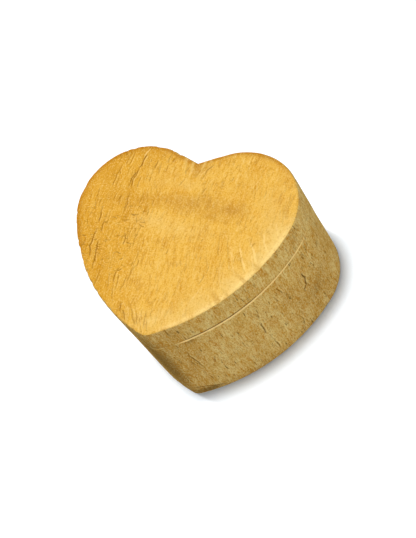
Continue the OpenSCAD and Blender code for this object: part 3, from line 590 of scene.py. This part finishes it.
    # Dark marks: the cracks, painted dark partly as shade in them, and the painted shadow of the seam.
    crack_and_shade = np.maximum(whole(plain + seam_shadow, side_crack_and_shade, shoulder_crack * fade), split)
    painted_highlight = np.maximum(whole(plain, side_highlight, shoulder_highlight * fade), split_highlight)
    return make_mesh("lid_wood", points, faces, {
        "crack_and_shade": crack_and_shade, "painted_highlight": painted_highlight, "top": top, "wrap": wraps, "fold": fold, "lively": lively,
        "side_tone": whole(plain, side_tone, shoulder_tone), "top_tone": soft_spots(at, TOP_STAINS_AND_LIGHT),
        "rim_light_and_shade": rim_light_and_shade, "left_shade": left_shade,
    })


# ---- Case ----

def rub_and_highlight():
    """How rubbed the case's upper edge is, and how pale its bevel is painted, partly as a highlight:
    most along the sides, least at the tip and the lobes.
    """
    along_sides = smooth(FROM_TIP, 8, 17) * (1 - 0.35 * smooth(FROM_TIP, 46, 66))
    return along_sides * (1 - smooth(FROM_TIP, 84, 104))


def build_case():
    """The case: inner wall, rubbed rim, side, underside, the key's recess and the arbor's bore."""
    rim, foot = CASE_HIGH[2], CASE_LOW[2]
    floor = FLOOR_LOW[2] - 0.05
    rubbed = 0.1 + 0.95 * rub_and_highlight()
    inner = rings([(WALL, floor), (WALL, rim - 0.4), (WALL - 0.12, rim - 0.12), (WALL - 0.4, rim)])
    bevel = []
    for turn in np.radians([90, 60, 30, 0]):
        bevel.append((rubbed * (1 - math.cos(turn)), rim - rubbed * (1 - math.sin(turn)) * 1.3))
    edge, *_ = wear_side(rings(bevel), np.full(len(bevel), UNWORN))
    heights = np.linspace(rim - 1.15, foot + 0.6, 94)
    side, side_crack_and_shade, side_highlight, side_tone = wear_side(rings([(0, z) for z in heights]), heights)
    base = rings([(0.12, foot + 0.2), (0.5, foot)])
    bearing = np.arctan2(base[-1, :, 1] - KEY_AT[1], base[-1, :, 0] - KEY_AT[0])
    recess = []
    for radius, z in (
        (RECESS_R + 0.3, foot), (RECESS_R, foot + 0.3), (RECESS_R, RECESS_TOP - 0.6),
        (RECESS_R - 0.6, RECESS_TOP + 0.04), (BORE_R, RECESS_TOP + 0.04), (BORE_R, floor),
    ):
        x, y = KEY_AT[0] + radius * np.cos(bearing), KEY_AT[1] + radius * np.sin(bearing)
        recess.append(np.column_stack([x, y, np.full(AROUND, z)]))
    rows = np.concatenate([inner, edge, side, base, recess])
    hinge_seat(rows, LEAF_LOW[2], LEAF_HIGH[2])
    before, after = len(inner) + len(edge), len(base) + len(recess)

    def spread(values):
        return np.pad(values, ((before, after), (0, 0))).ravel()

    # Pale paint on the rim's bevel: partly worn varnish, partly a painted highlight.
    gold = np.zeros(rows.shape[:2])
    over_bevel = np.array([1, 1, 0.9, 0.3])[:, None]
    gold[len(inner) : before] = over_bevel * (0.1 + 0.9 * np.minimum(1, 1.3 * rub_and_highlight()))
    faces = between_rows(len(rows), AROUND) + quads((len(rows) - 1) * AROUND, 0, AROUND)
    return make_mesh("case_wood", rows.reshape(-1, 3), faces, {
        "crack_and_shade": spread(side_crack_and_shade), "painted_highlight": spread(side_highlight), "side_tone": spread(side_tone),
        "gold": gold.ravel(), "wrap": unroll(rows, rows[..., 2]).reshape(-1, 3),
    })


# ---- Materials ----

class Shader:
    """A material's node tree, with short calls for the nodes that the materials share."""

    def __init__(self, name, **fixed):
        self.material = bpy.data.materials.new(name)
        self.material.use_nodes = True
        self.tree = self.material.node_tree
        self.surface = self.tree.nodes["Principled BSDF"]
        for socket, value in fixed.items():
            self.surface.inputs[socket.replace("_", " ")].default_value = value

    def node(self, kind, inputs=None, **settings):
        node = self.tree.nodes.new(kind)
        for key, value in settings.items():
            setattr(node, key, value)
        for key, value in (inputs or {}).items():
            self.feed(node.inputs[key], value)
        return node

    def feed(self, socket, value):
        if isinstance(value, bpy.types.NodeSocket):
            self.tree.links.new(value, socket)
        elif value is not None:
            socket.default_value = value

    def place(self):
        """Place in the row frame at rest, in millimetres."""
        coords = self.node("ShaderNodeTexCoord").outputs["Object"]
        return self.scale(coords, (1 / MM,) * 3)

    def attribute(self, name, vector=False):
        node = self.node("ShaderNodeAttribute", attribute_name=name)
        return node.outputs["Vector" if vector else "Fac"]

    def scale(self, vector, by):
        return self.node("ShaderNodeVectorMath", {0: vector, 1: by}, operation="MULTIPLY").outputs[0]

    def shift(self, vector, by):
        return self.node("ShaderNodeVectorMath", {0: vector, 1: by}, operation="ADD").outputs[0]

    def math(self, operation, a, b=None):
        return self.node("ShaderNodeMath", {0: a, 1: b}, operation=operation).outputs[0]

    def times(self, a, b):
        return self.math("MULTIPLY", a, b)

    def sway(self, vector, scale, detail, by):
        """A vector bent by broad noise, so that grain drawn along it wanders."""
        bend = self.node("ShaderNodeTexNoise", {"Vector": vector, "Scale": scale, "Detail": detail})
        return self.shift(vector, self.scale(bend.outputs["Color"], by))

    def tints(self, color, *moves):
        """Moves a colour towards each shade in turn, by most, as value goes from low to high."""
        for shade, value, low, high, most in moves:
            color = self.mix(self.step(value, low, high, 0, most), color, shade)
        return color

    def noise(self, vector, size, detail=3.0, rough=0.5, twist=0.0):
        """Noise from 0 to 1 with features about size millimetres across."""
        inputs = {"Vector": vector, "Scale": 1 / size, "Detail": detail}
        inputs.update({"Roughness": rough, "Distortion": twist})
        return self.node("ShaderNodeTexNoise", inputs).outputs["Fac"]

    def step(self, value, low, high, to_low=0.0, to_high=1.0):
        inputs = dict(enumerate((value, low, high, to_low, to_high)))
        return self.node("ShaderNodeMapRange", inputs, interpolation_type="SMOOTHSTEP").outputs[0]

    def mix(self, share, a, b):
        inputs = {"Factor": share, 6: a, 7: b}
        return self.node("ShaderNodeMix", inputs, data_type="RGBA").outputs[2]

    def lines(self, vector, size, width, detail=2.0, twist=0.6):
        """Thin wandering lines: 1 on them, 0 off them."""
        centred = self.math("SUBTRACT", self.noise(vector, size, detail, 0.45, twist), 0.5)
        away = self.math("ABSOLUTE", centred)
        return self.step(away, 0.0, width, 1.0, 0.0)

    def bump(self, height, distance, normal=None):
        inputs = {"Height": height, "Distance": distance * MM, "Strength": 1.0, "Normal": normal}
        return self.node("ShaderNodeBump", inputs).outputs[0]

    def finish(self, color=None, rough=None, normal=None):
        for socket, value in (("Base Color", color), ("Roughness", rough), ("Normal", normal)):
            self.feed(self.surface.inputs[socket], value)
        return self.material


def rgb(red, green, blue):
    """A colour given as it looks on screen, from 0 to 255, as linear light with alpha 1."""
    def linear(v):
        v /= 255
        return v / 12.92 if v <= 0.04045 else ((v + 0.055) / 1.055) ** 2.4
    return (linear(red), linear(green), linear(blue), 1.0)


GOLD = rgb(219, 169, 70)
GOLD_DEEP = rgb(188, 124, 18)
GOLD_PALE = rgb(227, 192, 114)
RIM_BROWN = rgb(168, 106, 10)
HONEY = rgb(198, 137, 16)
SMOKE_AND_SHADE = rgb(172, 120, 46)
OLIVE = rgb(182, 145, 74)
OLIVE_PALE = rgb(198, 171, 106)
OLIVE_BROWN = rgb(164, 108, 28)
SOIL_AND_SHADE = rgb(150, 108, 44)
WALNUT = rgb(86, 62, 24)
SPLIT = rgb(74, 42, 6)
RUBBED_HIGHLIGHT = rgb(252, 214, 138)
PALEST = rgb(240, 208, 134)


def toned(s, color, tone, pale, dark, most=0.8):
    """Moves a colour towards pale where tone is above 0 and towards dark where it is below."""
    color = s.mix(s.node("ShaderNodeMapRange", {"Value": tone, "To Max": most}).outputs[0], color, pale)
    under = s.node("ShaderNodeMapRange", {"Value": tone, "From Max": -1.0, "To Max": most}).outputs[0]
    return s.mix(under, color, dark)


def gilt_top(s, at):
    """Colour and fibres of the lid's top: gold, with the grain from tip to cleft, and painted
    light and shade.
    """
    grain = s.sway(at, 0.03, 1.0, (9, 3, 0))
    fibre = s.noise(s.scale(grain, (1, 0.13, 1)), 0.75, 6, 0.75)
    broad = s.noise(s.scale(grain, (1, 0.3, 1)), 8, 4, 0.55)
    mottle = s.noise(at, 2.2, 6, 0.7, 0.3)
    color = s.tints(
        GOLD, (GOLD_DEEP, broad, 0.42, 0.68, 0.25), (GOLD_PALE, mottle, 0.52, 0.72, 0.35),
        (GOLD_DEEP, mottle, 0.48, 0.3, 0.3),
    )
    lively = s.attribute("lively")
    color = s.mix(s.times(s.step(fibre, 0.48, 0.32), lively), color, GOLD_DEEP)
    color = s.mix(s.times(s.step(fibre, 0.52, 0.68), lively), color, GOLD_PALE)
    wrinkle = s.lines(s.scale(grain, (1, 0.16, 1)), 2.4, 0.05, 3, 0.2)
    where = s.times(lively, s.step(s.noise(s.shift(at, (3, 70, 0)), 7, 3), 0.42, 0.6))
    color = s.mix(s.times(s.times(wrinkle, where), 0.45), color, rgb(156, 98, 20))
    # Stains, and painted light from the same spots: pale along the right edge as highlight, dark along the
    # left edge as shade.
    ragged = s.times(s.attribute("top_tone"), s.step(s.noise(at, 5, 5, 0.65), 0.25, 0.75, 0.55, 1.35))
    color = toned(s, color, ragged, GOLD_PALE, SMOKE_AND_SHADE)
    # Painted shade on the left of the top, deepest near its edge.
    color = s.mix(s.times(s.attribute("left_shade"), 0.55), color, HONEY)
    rim, fold = s.attribute("rim_light_and_shade"), s.attribute("fold")
    speck = s.noise(s.shift(at, (0, 0, 33)), 0.8, 2, 0.8)
    # Painted light: the rim goes brown where it turns from the light and palest where it turns towards it.
    # Fold ridges are painted pale as highlights and fold hollows dark as shade.
    color = s.tints(
        color, (RIM_BROWN, rim, 0.0, 0.8, 0.85), (PALEST, rim, 0.0, -0.9, 0.8),
        (GOLD_PALE, fold, 0.1, 0.9, 0.55), (SMOKE_AND_SHADE, fold, -0.1, -0.9, 0.4),
        (GOLD_PALE, speck, 0.52, 0.65, 0.5), (GOLD_DEEP, speck, 0.48, 0.35, 0.42),
    )
    return color, fibre


def old_side(s, wrap):
    """Colour and fibres of the side: olive tan with upright grain, brown streaks and pale patches,
    and painted shade by the tip.
    """
    grain = s.sway(wrap, 0.05, 2.0, (2.5, 2.5, 0))
    fibre = s.noise(s.scale(grain, (1, 1, 0.11)), 0.8, 6, 0.75)
    streak = s.noise(s.scale(s.shift(grain, (31, 5, 12)), (1, 1, 0.18)), 2.0, 7, 0.72)
    pale = s.noise(s.scale(s.shift(grain, (5, 51, 3)), (1, 1, 0.35)), 4, 7, 0.7)
    cloud = s.noise(wrap, 14, 4, 0.6)
    color = s.tints(
        OLIVE, (OLIVE_PALE, pale, 0.42, 0.62, 1), (OLIVE_PALE, cloud, 0.5, 0.7, 0.4),
        (OLIVE_BROWN, streak, 0.5, 0.68, 0.9), (OLIVE_BROWN, fibre, 0.52, 0.66, 0.9),
        (OLIVE_PALE, fibre, 0.46, 0.33, 0.85),
    )
    # Stains, and the painted shade on the side by the tip, which faces away from the light.
    ragged = s.times(s.attribute("side_tone"), s.step(streak, 0.3, 0.7, 0.7, 1.3))
    color = toned(s, color, ragged, OLIVE_PALE, SOIL_AND_SHADE)
    speck = s.noise(s.scale(s.shift(wrap, (7, 0, 33)), (1, 1, 0.4)), 0.7, 2, 0.8)
    dots = s.noise(s.shift(wrap, (50, 2, 8)), 0.55, 1, 0.5)
    color = s.tints(
        color, (OLIVE_PALE, speck, 0.52, 0.64, 0.75), (OLIVE_BROWN, speck, 0.48, 0.36, 0.75),
        (WALNUT, dots, 0.6, 0.72, 0.55),
    )
    # Painted shade: where the tone is darkest, mostly on the side by the tip, which faces away from the
    # light, the side goes towards walnut.
    deep = s.times(s.step(s.attribute("side_tone"), -0.55, -1.0), 0.6)
    color = s.mix(deep, color, WALNUT)
    fine = s.noise(s.scale(s.shift(grain, (3, 8, 90)), (1, 1, 0.12)), 0.8, 4, 0.6)
    where = s.step(s.noise(s.shift(wrap, (9, 9, 40)), 9, 3), 0.45, 0.6)
    color = s.mix(s.times(s.step(fine, 0.57, 0.68, 0, 0.95), where), color, WALNUT)
    return color, fibre


def wood_material():
    """One wood for case and lid: attribute top mixes the gold crown with the olive side."""
    s = Shader("box_wood", Specular_IOR_Level=0.0)
    at = s.place()
    wrap = s.attribute("wrap", vector=True)
    crown, crown_fibre = gilt_top(s, at)
    side, side_fibre = old_side(s, wrap)

    # The boundary between top and side wanders a little, and it is rubbed brown in places.
    top = s.math("ADD", s.attribute("top"), s.step(s.noise(wrap, 1.6, 3), 0.3, 0.7, -0.1, 0.1))
    share = s.step(top, 0.42, 0.54)
    brink = s.times(s.step(top, 0.2, 0.42), s.step(top, 0.62, 0.46))
    frayed = s.step(s.noise(wrap, 2.2, 5, 0.7), 0.48, 0.6)
    color = s.mix(share, side, crown)
    color = s.mix(s.times(s.times(brink, frayed), 0.7), color, rgb(156, 96, 28))
    # The rubbed bevel on the case's rim is painted pale, partly worn varnish and partly a painted
    # highlight where it catches the light.
    color = s.mix(s.attribute("gold"), color, RUBBED_HIGHLIGHT)

    crack_and_shade, painted_highlight = s.attribute("crack_and_shade"), s.attribute("painted_highlight")
    # Painted highlights: pale lines beside the cracks and along the creases of the top.
    color = s.mix(s.times(s.step(painted_highlight, 0.05, 0.8), s.step(share, 0, 1, 0.28, 0.52)), color, PALEST)
    # Cracks are painted dark, partly the split itself and partly the shade inside it. The same mask
    # carries the painted shadow of the seam.
    split = s.mix(share, SPLIT, rgb(116, 68, 8))
    color = s.tints(color, (split, crack_and_shade, 0.08, 0.85, 0.85))

    grit = s.noise(at, 0.4, 3, 0.6)
    fibre = s.node("ShaderNodeMix", {0: share, 2: side_fibre, 3: crown_fibre}).outputs[0]
    rough = s.math("ADD", s.times(fibre, 0.25), s.times(crack_and_shade, 0.2))
    rough = s.math("ADD", rough, 0.42)
    normal = s.bump(fibre, 0.65)
    normal = s.bump(grit, 0.12, normal)
    return s.finish(color, rough, normal)


def plain_wood(name, light, dark):
    """Straight-grained varnished wood for the frame round the movement."""
    s = Shader(name, Specular_IOR_Level=0.4)
    at = s.place()
    grain = s.noise(s.scale(at, (0.06, 0.5, 1)), 1.2, 5, 0.6, 0.3)
    pores = s.noise(s.scale(at, (0.12, 1, 1.4)), 0.35, 3, 0.6)
    color = s.tints(dark, (light, grain, 0.35, 0.65, 1), (dark, pores, 0.6, 0.75, 0.5))
    normal = s.bump(s.math("SUBTRACT", grain, pores), 0.08)
    return s.finish(color, s.step(grain, 0.3, 0.7, 0.34, 0.48), normal)


def velvet(name, deep, bright):
    """Short velvet pile with brushed lights and darks."""
    s = Shader(name, Sheen_Weight=0.7, Sheen_Roughness=0.35, Specular_IOR_Level=0.1)
    s.surface.inputs["Sheen Tint"].default_value = bright
    at = s.place()
    brushed = s.noise(at, 16, 2, 0.45)
    nap = s.noise(s.scale(at, (1, 0.5, 1)), 1.6, 3, 0.6)
    pile = s.noise(at, 0.28, 2, 0.7)
    color = s.mix(s.step(brushed, 0.3, 0.7, 0.25, 0.85), deep, bright)
    color = s.tints(color, (deep, nap, 0.4, 0.65, 0.35))
    color = s.mix(s.step(pile, 0.35, 0.7, 0.5, 0), color, deep)
    return s.finish(color, s.step(pile, 0.3, 0.7, 0.95, 0.8), s.bump(pile, 0.12))


def felt(name, deep, bright):
    """Pressed felt: short crossing fibres."""
    s = Shader(name, Sheen_Weight=0.3, Sheen_Roughness=0.5, Specular_IOR_Level=0.1)
    at = s.place()
    fibres = s.noise(s.scale(at, (1, 0.25, 1)), 0.3, 4, 0.7, 1.2)
    crossing = s.noise(s.scale(at, (0.25, 1, 1)), 0.3, 4, 0.7, 1.2)
    both = s.times(s.math("ADD", fibres, crossing), 0.5)
    cloud = s.noise(at, 6, 3)
    color = s.tints(deep, (bright, both, 0.4, 0.6, 1), (deep, cloud, 0.4, 0.7, 0.3))
    return s.finish(color, s.step(both, 0.3, 0.7, 0.98, 0.88), s.bump(both, 0.14))


def metal(name, color, tarnish, rough, brushed=(1, 1, 1), size=0.6, amount=0.35):
    """Metal with fine tool marks stretched by brushed, and patches of tarnish."""
    s = Shader(name, Metallic=1.0)
    at = s.place()
    marks = s.noise(s.scale(at, brushed), size, 3, 0.6)
    stain = s.noise(at, 4, 5, 0.65, 0.4)
    shade = s.mix(s.step(stain, 0.48, 0.72, 0, amount), color, tarnish)
    shade = s.tints(shade, (tarnish, marks, 0.35, 0.65, 0.12))
    rougher = s.math("ADD", s.step(stain, 0.4, 0.7, rough, rough + 0.15), s.times(marks, 0.1))
    return s.finish(shade, rougher, s.bump(marks, 0.006))


def clear_sheet(name):
    """Clear polished sheet with a few hairline scratches."""
    s = Shader(name, Transmission_Weight=1.0, IOR=1.49)
    at = s.place()
    scratch = s.lines(s.scale(at, (0.5, 1, 1)), 9, 0.004, 2, 1.5)
    smear = s.noise(at, 8, 3)
    rough = s.math("ADD", s.times(scratch, 0.15), s.step(smear, 0.4, 0.7, 0.01, 0.05))
    return s.finish(rgb(250, 252, 252), rough, s.bump(scratch, 0.01))


def leather(name):
    s = Shader(name, Specular_IOR_Level=0.3)
    at = s.place()
    cells = s.node("ShaderNodeTexVoronoi", {"Vector": at, "Scale": 4.0}).outputs["Distance"]
    color = s.mix(s.step(cells, 0.1, 0.5), rgb(84, 50, 26), rgb(128, 82, 46))
    return s.finish(color, s.step(cells, 0.1, 0.6, 0.6, 0.8), s.bump(cells, 0.05))


BRASS = metal("brass", rgb(226, 186, 104), rgb(150, 108, 44), 0.24, (1, 1, 6))
TURNED_BRASS = metal("turned_brass", rgb(222, 180, 96), rgb(140, 100, 42), 0.2, (9, 1, 1))
AGED_BRASS = metal("aged_brass", rgb(176, 138, 70), rgb(82, 56, 26), 0.36, (1, 5, 5), amount=0.7)
ZINC = metal("zinc", rgb(196, 190, 172), rgb(126, 116, 94), 0.38, (1, 1, 1), 1.4)
STEEL = metal("steel", rgb(190, 192, 196), rgb(120, 116, 108), 0.24, (1, 8, 8))
COMB_STEEL = metal("comb_steel", rgb(206, 208, 212), rgb(140, 136, 126), 0.22, (6, 0.4, 1), 0.5)
BLUED = metal("blued_steel", rgb(70, 84, 132), rgb(40, 40, 60), 0.26, (4, 4, 1))
WOOD = wood_material()
FRAME_WOOD = plain_wood("frame_wood", rgb(176, 128, 68), rgb(122, 80, 36))
RED_VELVET = velvet("red_velvet", rgb(64, 6, 14), rgb(138, 20, 34))
GREEN_FELT = felt("green_felt", rgb(26, 50, 32), rgb(60, 92, 60))
CLEAR = clear_sheet("clear_sheet")
HIDE = leather("hide")


# ---- Pieces ----

def set_material(obj, material):
    obj.data.materials.clear()
    obj.data.materials.append(material)


def piece(obj, material, body, node):
    """A visible piece: its material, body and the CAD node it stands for."""
    set_material(obj, material)
    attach(obj, body)
    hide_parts(node)
    return obj


piece(build_lid(), WOOD, "lid", "lid_shell")
piece(build_case(), WOOD, "case", "case_body")


def filled_sheet(name, loops, low, high, soften):
    """A flat sheet between two heights, bounded by closed loops of points, with softened edges."""
    bm = bmesh.new()
    edges = []
    for loop in loops:
        verts = [bm.verts.new((x * MM, y * MM, low * MM)) for x, y in loop]
        edges += [bm.edges.new((a, b)) for a, b in zip(verts, verts[1:] + verts[:1])]
    bmesh.ops.triangle_fill(bm, use_beauty=True, edges=edges)
    made = bmesh.ops.extrude_face_region(bm, geom=bm.faces[:])
    raised = [v for v in made["geom"] if isinstance(v, bmesh.types.BMVert)]
    bmesh.ops.translate(bm, verts=raised, vec=(0, 0, (high - low) * MM))
    bmesh.ops.recalc_face_normals(bm, faces=bm.faces[:])
    mesh = bpy.data.meshes.new(name)
    bm.to_mesh(mesh)
    bm.free()
    obj = add(name, mesh)
    soft_edges(obj, soften)
    return obj


def soft_edges(obj, width):
    """Rounds an object's sharp corners, without touching its mesh."""
    bevel = obj.modifiers.new("soft_edges", "BEVEL")
    bevel.width = width * MM
    bevel.segments = 2
    bevel.limit_method = "ANGLE"
    bevel.angle_limit = math.radians(35)


def heart_loop(inset, count=220):
    return heart(np.arange(count) / count, inset)[0]


def circle_loop(centre, radius, count=96):
    turn = 2 * math.pi * np.arange(count) / count
    return np.asarray(centre) + radius * np.column_stack([np.cos(turn), np.sin(turn)])


felt_cut = [heart_loop(2), circle_loop(KEY_AT, RECESS_R)]
base_felt = filled_sheet("base_felt_sheet", felt_cut, FELT_LOW[2], FELT_HIGH[2], 0.15)
piece(base_felt, GREEN_FELT, "case", "base_felt")

housing_loop = [
    (HOUSING_LOW[0], HOUSING_LOW[1]), (HOUSING_HIGH[0], HOUSING_LOW[1]),
    (HOUSING_HIGH[0], HOUSING_HIGH[1]), (HOUSING_LOW[0], HOUSING_HIGH[1]),
]
floor_cut = [heart_loop(WALL + 0.02), housing_loop]
floor_velvet = filled_sheet("floor_velvet", floor_cut, FLOOR_LOW[2], FLOOR_HIGH[2], 0.25)
piece(floor_velvet, RED_VELVET, "case", "floor_lining")


def build_wall_velvet():
    """Velvet round the inside wall, with a rolled upper edge."""
    low, high = WALL_LOW[2], WALL_HIGH[2]
    back, face = WALL + 0.02, WALL + LINING_T
    roll = LINING_T / 2
    profile = [(back, low), (back, high - roll)]
    for a in np.radians([40, 80, 120, 160]):
        profile.append((back + roll - roll * math.cos(a), high - roll + roll * math.sin(a)))
    profile += [(face, z) for z in np.linspace(high - roll - 0.4, low, 40)]
    rows = rings(profile)
    ripple = 0.05 * lumps(rows, 6, 61) + 0.03 * lumps(rows, 1.4, 62)
    _, outward = heart(U)
    fade = np.zeros(len(profile))
    fade[2:] = 1
    rows[..., :2] += outward * np.abs(ripple * fade[:, None])[..., None]
    n = len(profile)
    faces = []
    for k in range(n):
        faces += [f[::-1] for f in quads(((k + 1) % n) * AROUND, k * AROUND, AROUND)]
    return make_mesh("wall_velvet", rows.reshape(-1, 3), faces)


wall_velvet = piece(build_wall_velvet(), RED_VELVET, "case", "wall_lining")
around_wall = heart_loop(WALL + LINING_T / 2, AROUND)


def build_lid_pad():
    """Quilted pad on the lid's ceiling: velvet over thin foam, stitched in diamonds."""
    ceiling, thick = LINING_HIGH[2], LINING_T
    diamond = 13.0
    outer = rings([(WALL + 0.25, ceiling), (WALL + 0.25, ceiling - 0.3)])
    points = [outer.reshape(-1, 3)]
    faces = quads(AROUND, 0, AROUND)
    faces.append(list(range(AROUND)))
    made, more = dish(outer[-1], AROUND, step=0.011, last=0.04, halve_at=0.52)
    faces += [f[::-1] for f in more]
    for _, index, flat in made:
        points.append(np.column_stack([flat, np.full(len(index), ceiling - thick)]))
    points.append(np.array([[*CROWN_C, ceiling - thick]]))
    points = np.concatenate(points)
    under = points[:, 2] < ceiling - 0.5
    a = (points[:, 0] + points[:, 1] * 0.62) / diamond
    b = (points[:, 0] - points[:, 1] * 0.62) / diamond
    seam = np.minimum(abs(a - np.round(a)), abs(b - np.round(b))) * diamond
    lift = 0.5 * np.exp(-((seam / 1.1) ** 2)) + 0.12 * np.exp(-((seam / 3.2) ** 2))
    points[:, 2] += np.where(under, lift, 0)
    return make_mesh("lid_pad", points, faces, sharp=60)


lid_pad = piece(build_lid_pad(), RED_VELVET, "lid", "lid_lining")


def build_brake_pad():
    """A leather pad: a short drum with rounded rims and a slightly crushed face."""
    centre = (PAD_LOW + PAD_HIGH) / 2
    radius = (PAD_HIGH[0] - PAD_LOW[0]) / 2
    low, high = PAD_LOW[2], PAD_HIGH[2]
    profile = [
        (0.8, 0.0), (0.96, 0.06), (1.0, 0.2), (0.97, 0.5), (1.0, 0.8), (0.95, 0.97), (0.8, 1.0),
    ]
    n = 32
    turn = 2 * math.pi * np.arange(n) / n
    points = []
    for r, z in profile:
        for a in turn:
            x, y = centre[0] + radius * r * math.cos(a), centre[1] + radius * r * math.sin(a)
            points.append((x, y, low + (high - low) * z))
    faces = [list(range(n))[::-1], list(range((len(profile) - 1) * n, len(profile) * n))]
    faces += between_rows(len(profile), n)
    return make_mesh("brake_leather", points, faces)


piece(build_brake_pad(), HIDE, "brake_lever", "brake_pad")

# CAD nodes keep their shape. Each gets its material, and those with a radius above 0 get their corners
# rounded by it.
FINISHES = (
    (FRAME_WOOD, {"movement_housing": 0.4}),
    (CLEAR, {"movement_window": 0.2}),
    (BRASS, {
        "window_screws": 0.12, "winding_key": 0.35, "main_wheel": 0.04, "cylinder_ends": 0.1,
        "cylinder_wheel": 0.03, "second_wheel": 0.03, "worm_wheel": 0.03, "brake_disc": 0.06,
    }),
    (TURNED_BRASS, {
        "stop_pin_bush": 0.12, "arbor_bush": 0.1, "pinned_cylinder": 0, "cylinder_pinion": 0.04,
    }),
    (AGED_BRASS, {
        "hinge_base_leaves": 0.12, "hinge_lid_leaves": 0.12, "hinge_pins": 0.12,
        "hinge_base_screws": 0.1, "hinge_lid_screws": 0.1,
    }),
    (ZINC, {
        "bedplate": 0.25, "comb_base": 0.4, "cylinder_bridge": 0.2, "governor_frame": 0.15,
        "stop_lever": 0.15,
    }),
    (STEEL, {
        "movement_screws": 0.2, "spring_cup": 0.35, "lever_pivot": 0.1, "lever_spring": 0,
        "winding_arbor": 0.15, "click": 0.08, "cylinder_arbor": 0.15, "second_arbor": 0.08,
        "third_arbor": 0.08, "worm_shaft": 0, "air_fan": 0.06, "stop_pin": 0.2,
    }),
    (BLUED, {
        "mainspring": 0, "comb_screws": 0.2, "bridge_screw": 0.15, "governor_screws": 0.15,
        "ratchet_wheel": 0.05, "click_spring": 0.05, "second_pinion": 0.03, "third_pinion": 0.03,
    }),
    (COMB_STEEL, {"comb": 0.06}),
)
for material, radii in FINISHES:
    for name, radius in radii.items():
        set_material(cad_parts[name], material)
        if radius:
            soft_edges(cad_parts[name], radius)

# ---- Floor, light and camera ----

FAR = 5000            # half width of the floor
corners = [(-FAR, -FAR, 0), (FAR, -FAR, 0), (FAR, FAR, 0), (-FAR, FAR, 0)]
floor = make_mesh("floor", corners, [[0, 1, 2, 3]])
paper = Shader("white_paper", Roughness=0.9, Specular_IOR_Level=0.1)
tooth = paper.noise(paper.place(), 2.5, 3)
set_material(floor, paper.finish(paper.mix(tooth, rgb(242, 247, 252), rgb(245, 250, 255))))

AIM = Vector((3.8, 1.1, 36)) * MM
AZIMUTH, ELEVATION, ROLL = 48.83, 55.16, -37.56
DISTANCE = 0.758


def bearing(azimuth, elevation):
    """Unit vector towards the viewer. Azimuth 0 is in front of the tip and 90 on the right."""
    a, e = math.radians(azimuth), math.radians(elevation)
    return Vector((math.sin(a) * math.cos(e), -math.cos(a) * math.cos(e), math.sin(e)))


def look(obj, towards_viewer, roll=0):
    turn = towards_viewer.to_track_quat("Z", "Y").to_matrix().to_4x4()
    turn = turn @ Matrix.Rotation(math.radians(roll), 4, "Z")
    obj.matrix_world = Matrix.Translation(obj.location) @ turn


lens = bpy.data.cameras.new("camera")
lens.lens = 100.2
lens.sensor_width = 36
camera = add("camera", lens)
camera.location = AIM + bearing(AZIMUTH, ELEVATION) * DISTANCE
look(camera, bearing(AZIMUTH, ELEVATION), ROLL)
bpy.context.scene.camera = camera


def area_light(name, azimuth, elevation, distance, size, watts, color=(1, 1, 1)):
    data = bpy.data.lights.new(name, "AREA")
    data.shape = "DISK"
    data.size = size
    data.energy = watts
    data.color = color
    lamp = add(name, data)
    lamp.location = AIM + bearing(azimuth, elevation) * distance
    look(lamp, bearing(azimuth, elevation))


# The key is almost overhead, so its shadow is short. The rake brings out the grain, and the fill
# lights the side.
area_light("key", 235, 87.1, 3.0, 0.36, 66)
area_light("rake", 255, 32, 3.0, 0.4, 44)
area_light("fill", 66, 9, 2.4, 0.7, 25, (0.97, 0.985, 1))

world = bpy.data.worlds.new("studio")
world.use_nodes = True
sky = world.node_tree.nodes["Background"].inputs
sky["Color"].default_value = (0.87, 0.94, 1, 1)
sky["Strength"].default_value = 0.4
bpy.context.scene.world = world
bpy.context.scene.view_settings.view_transform = "Standard"
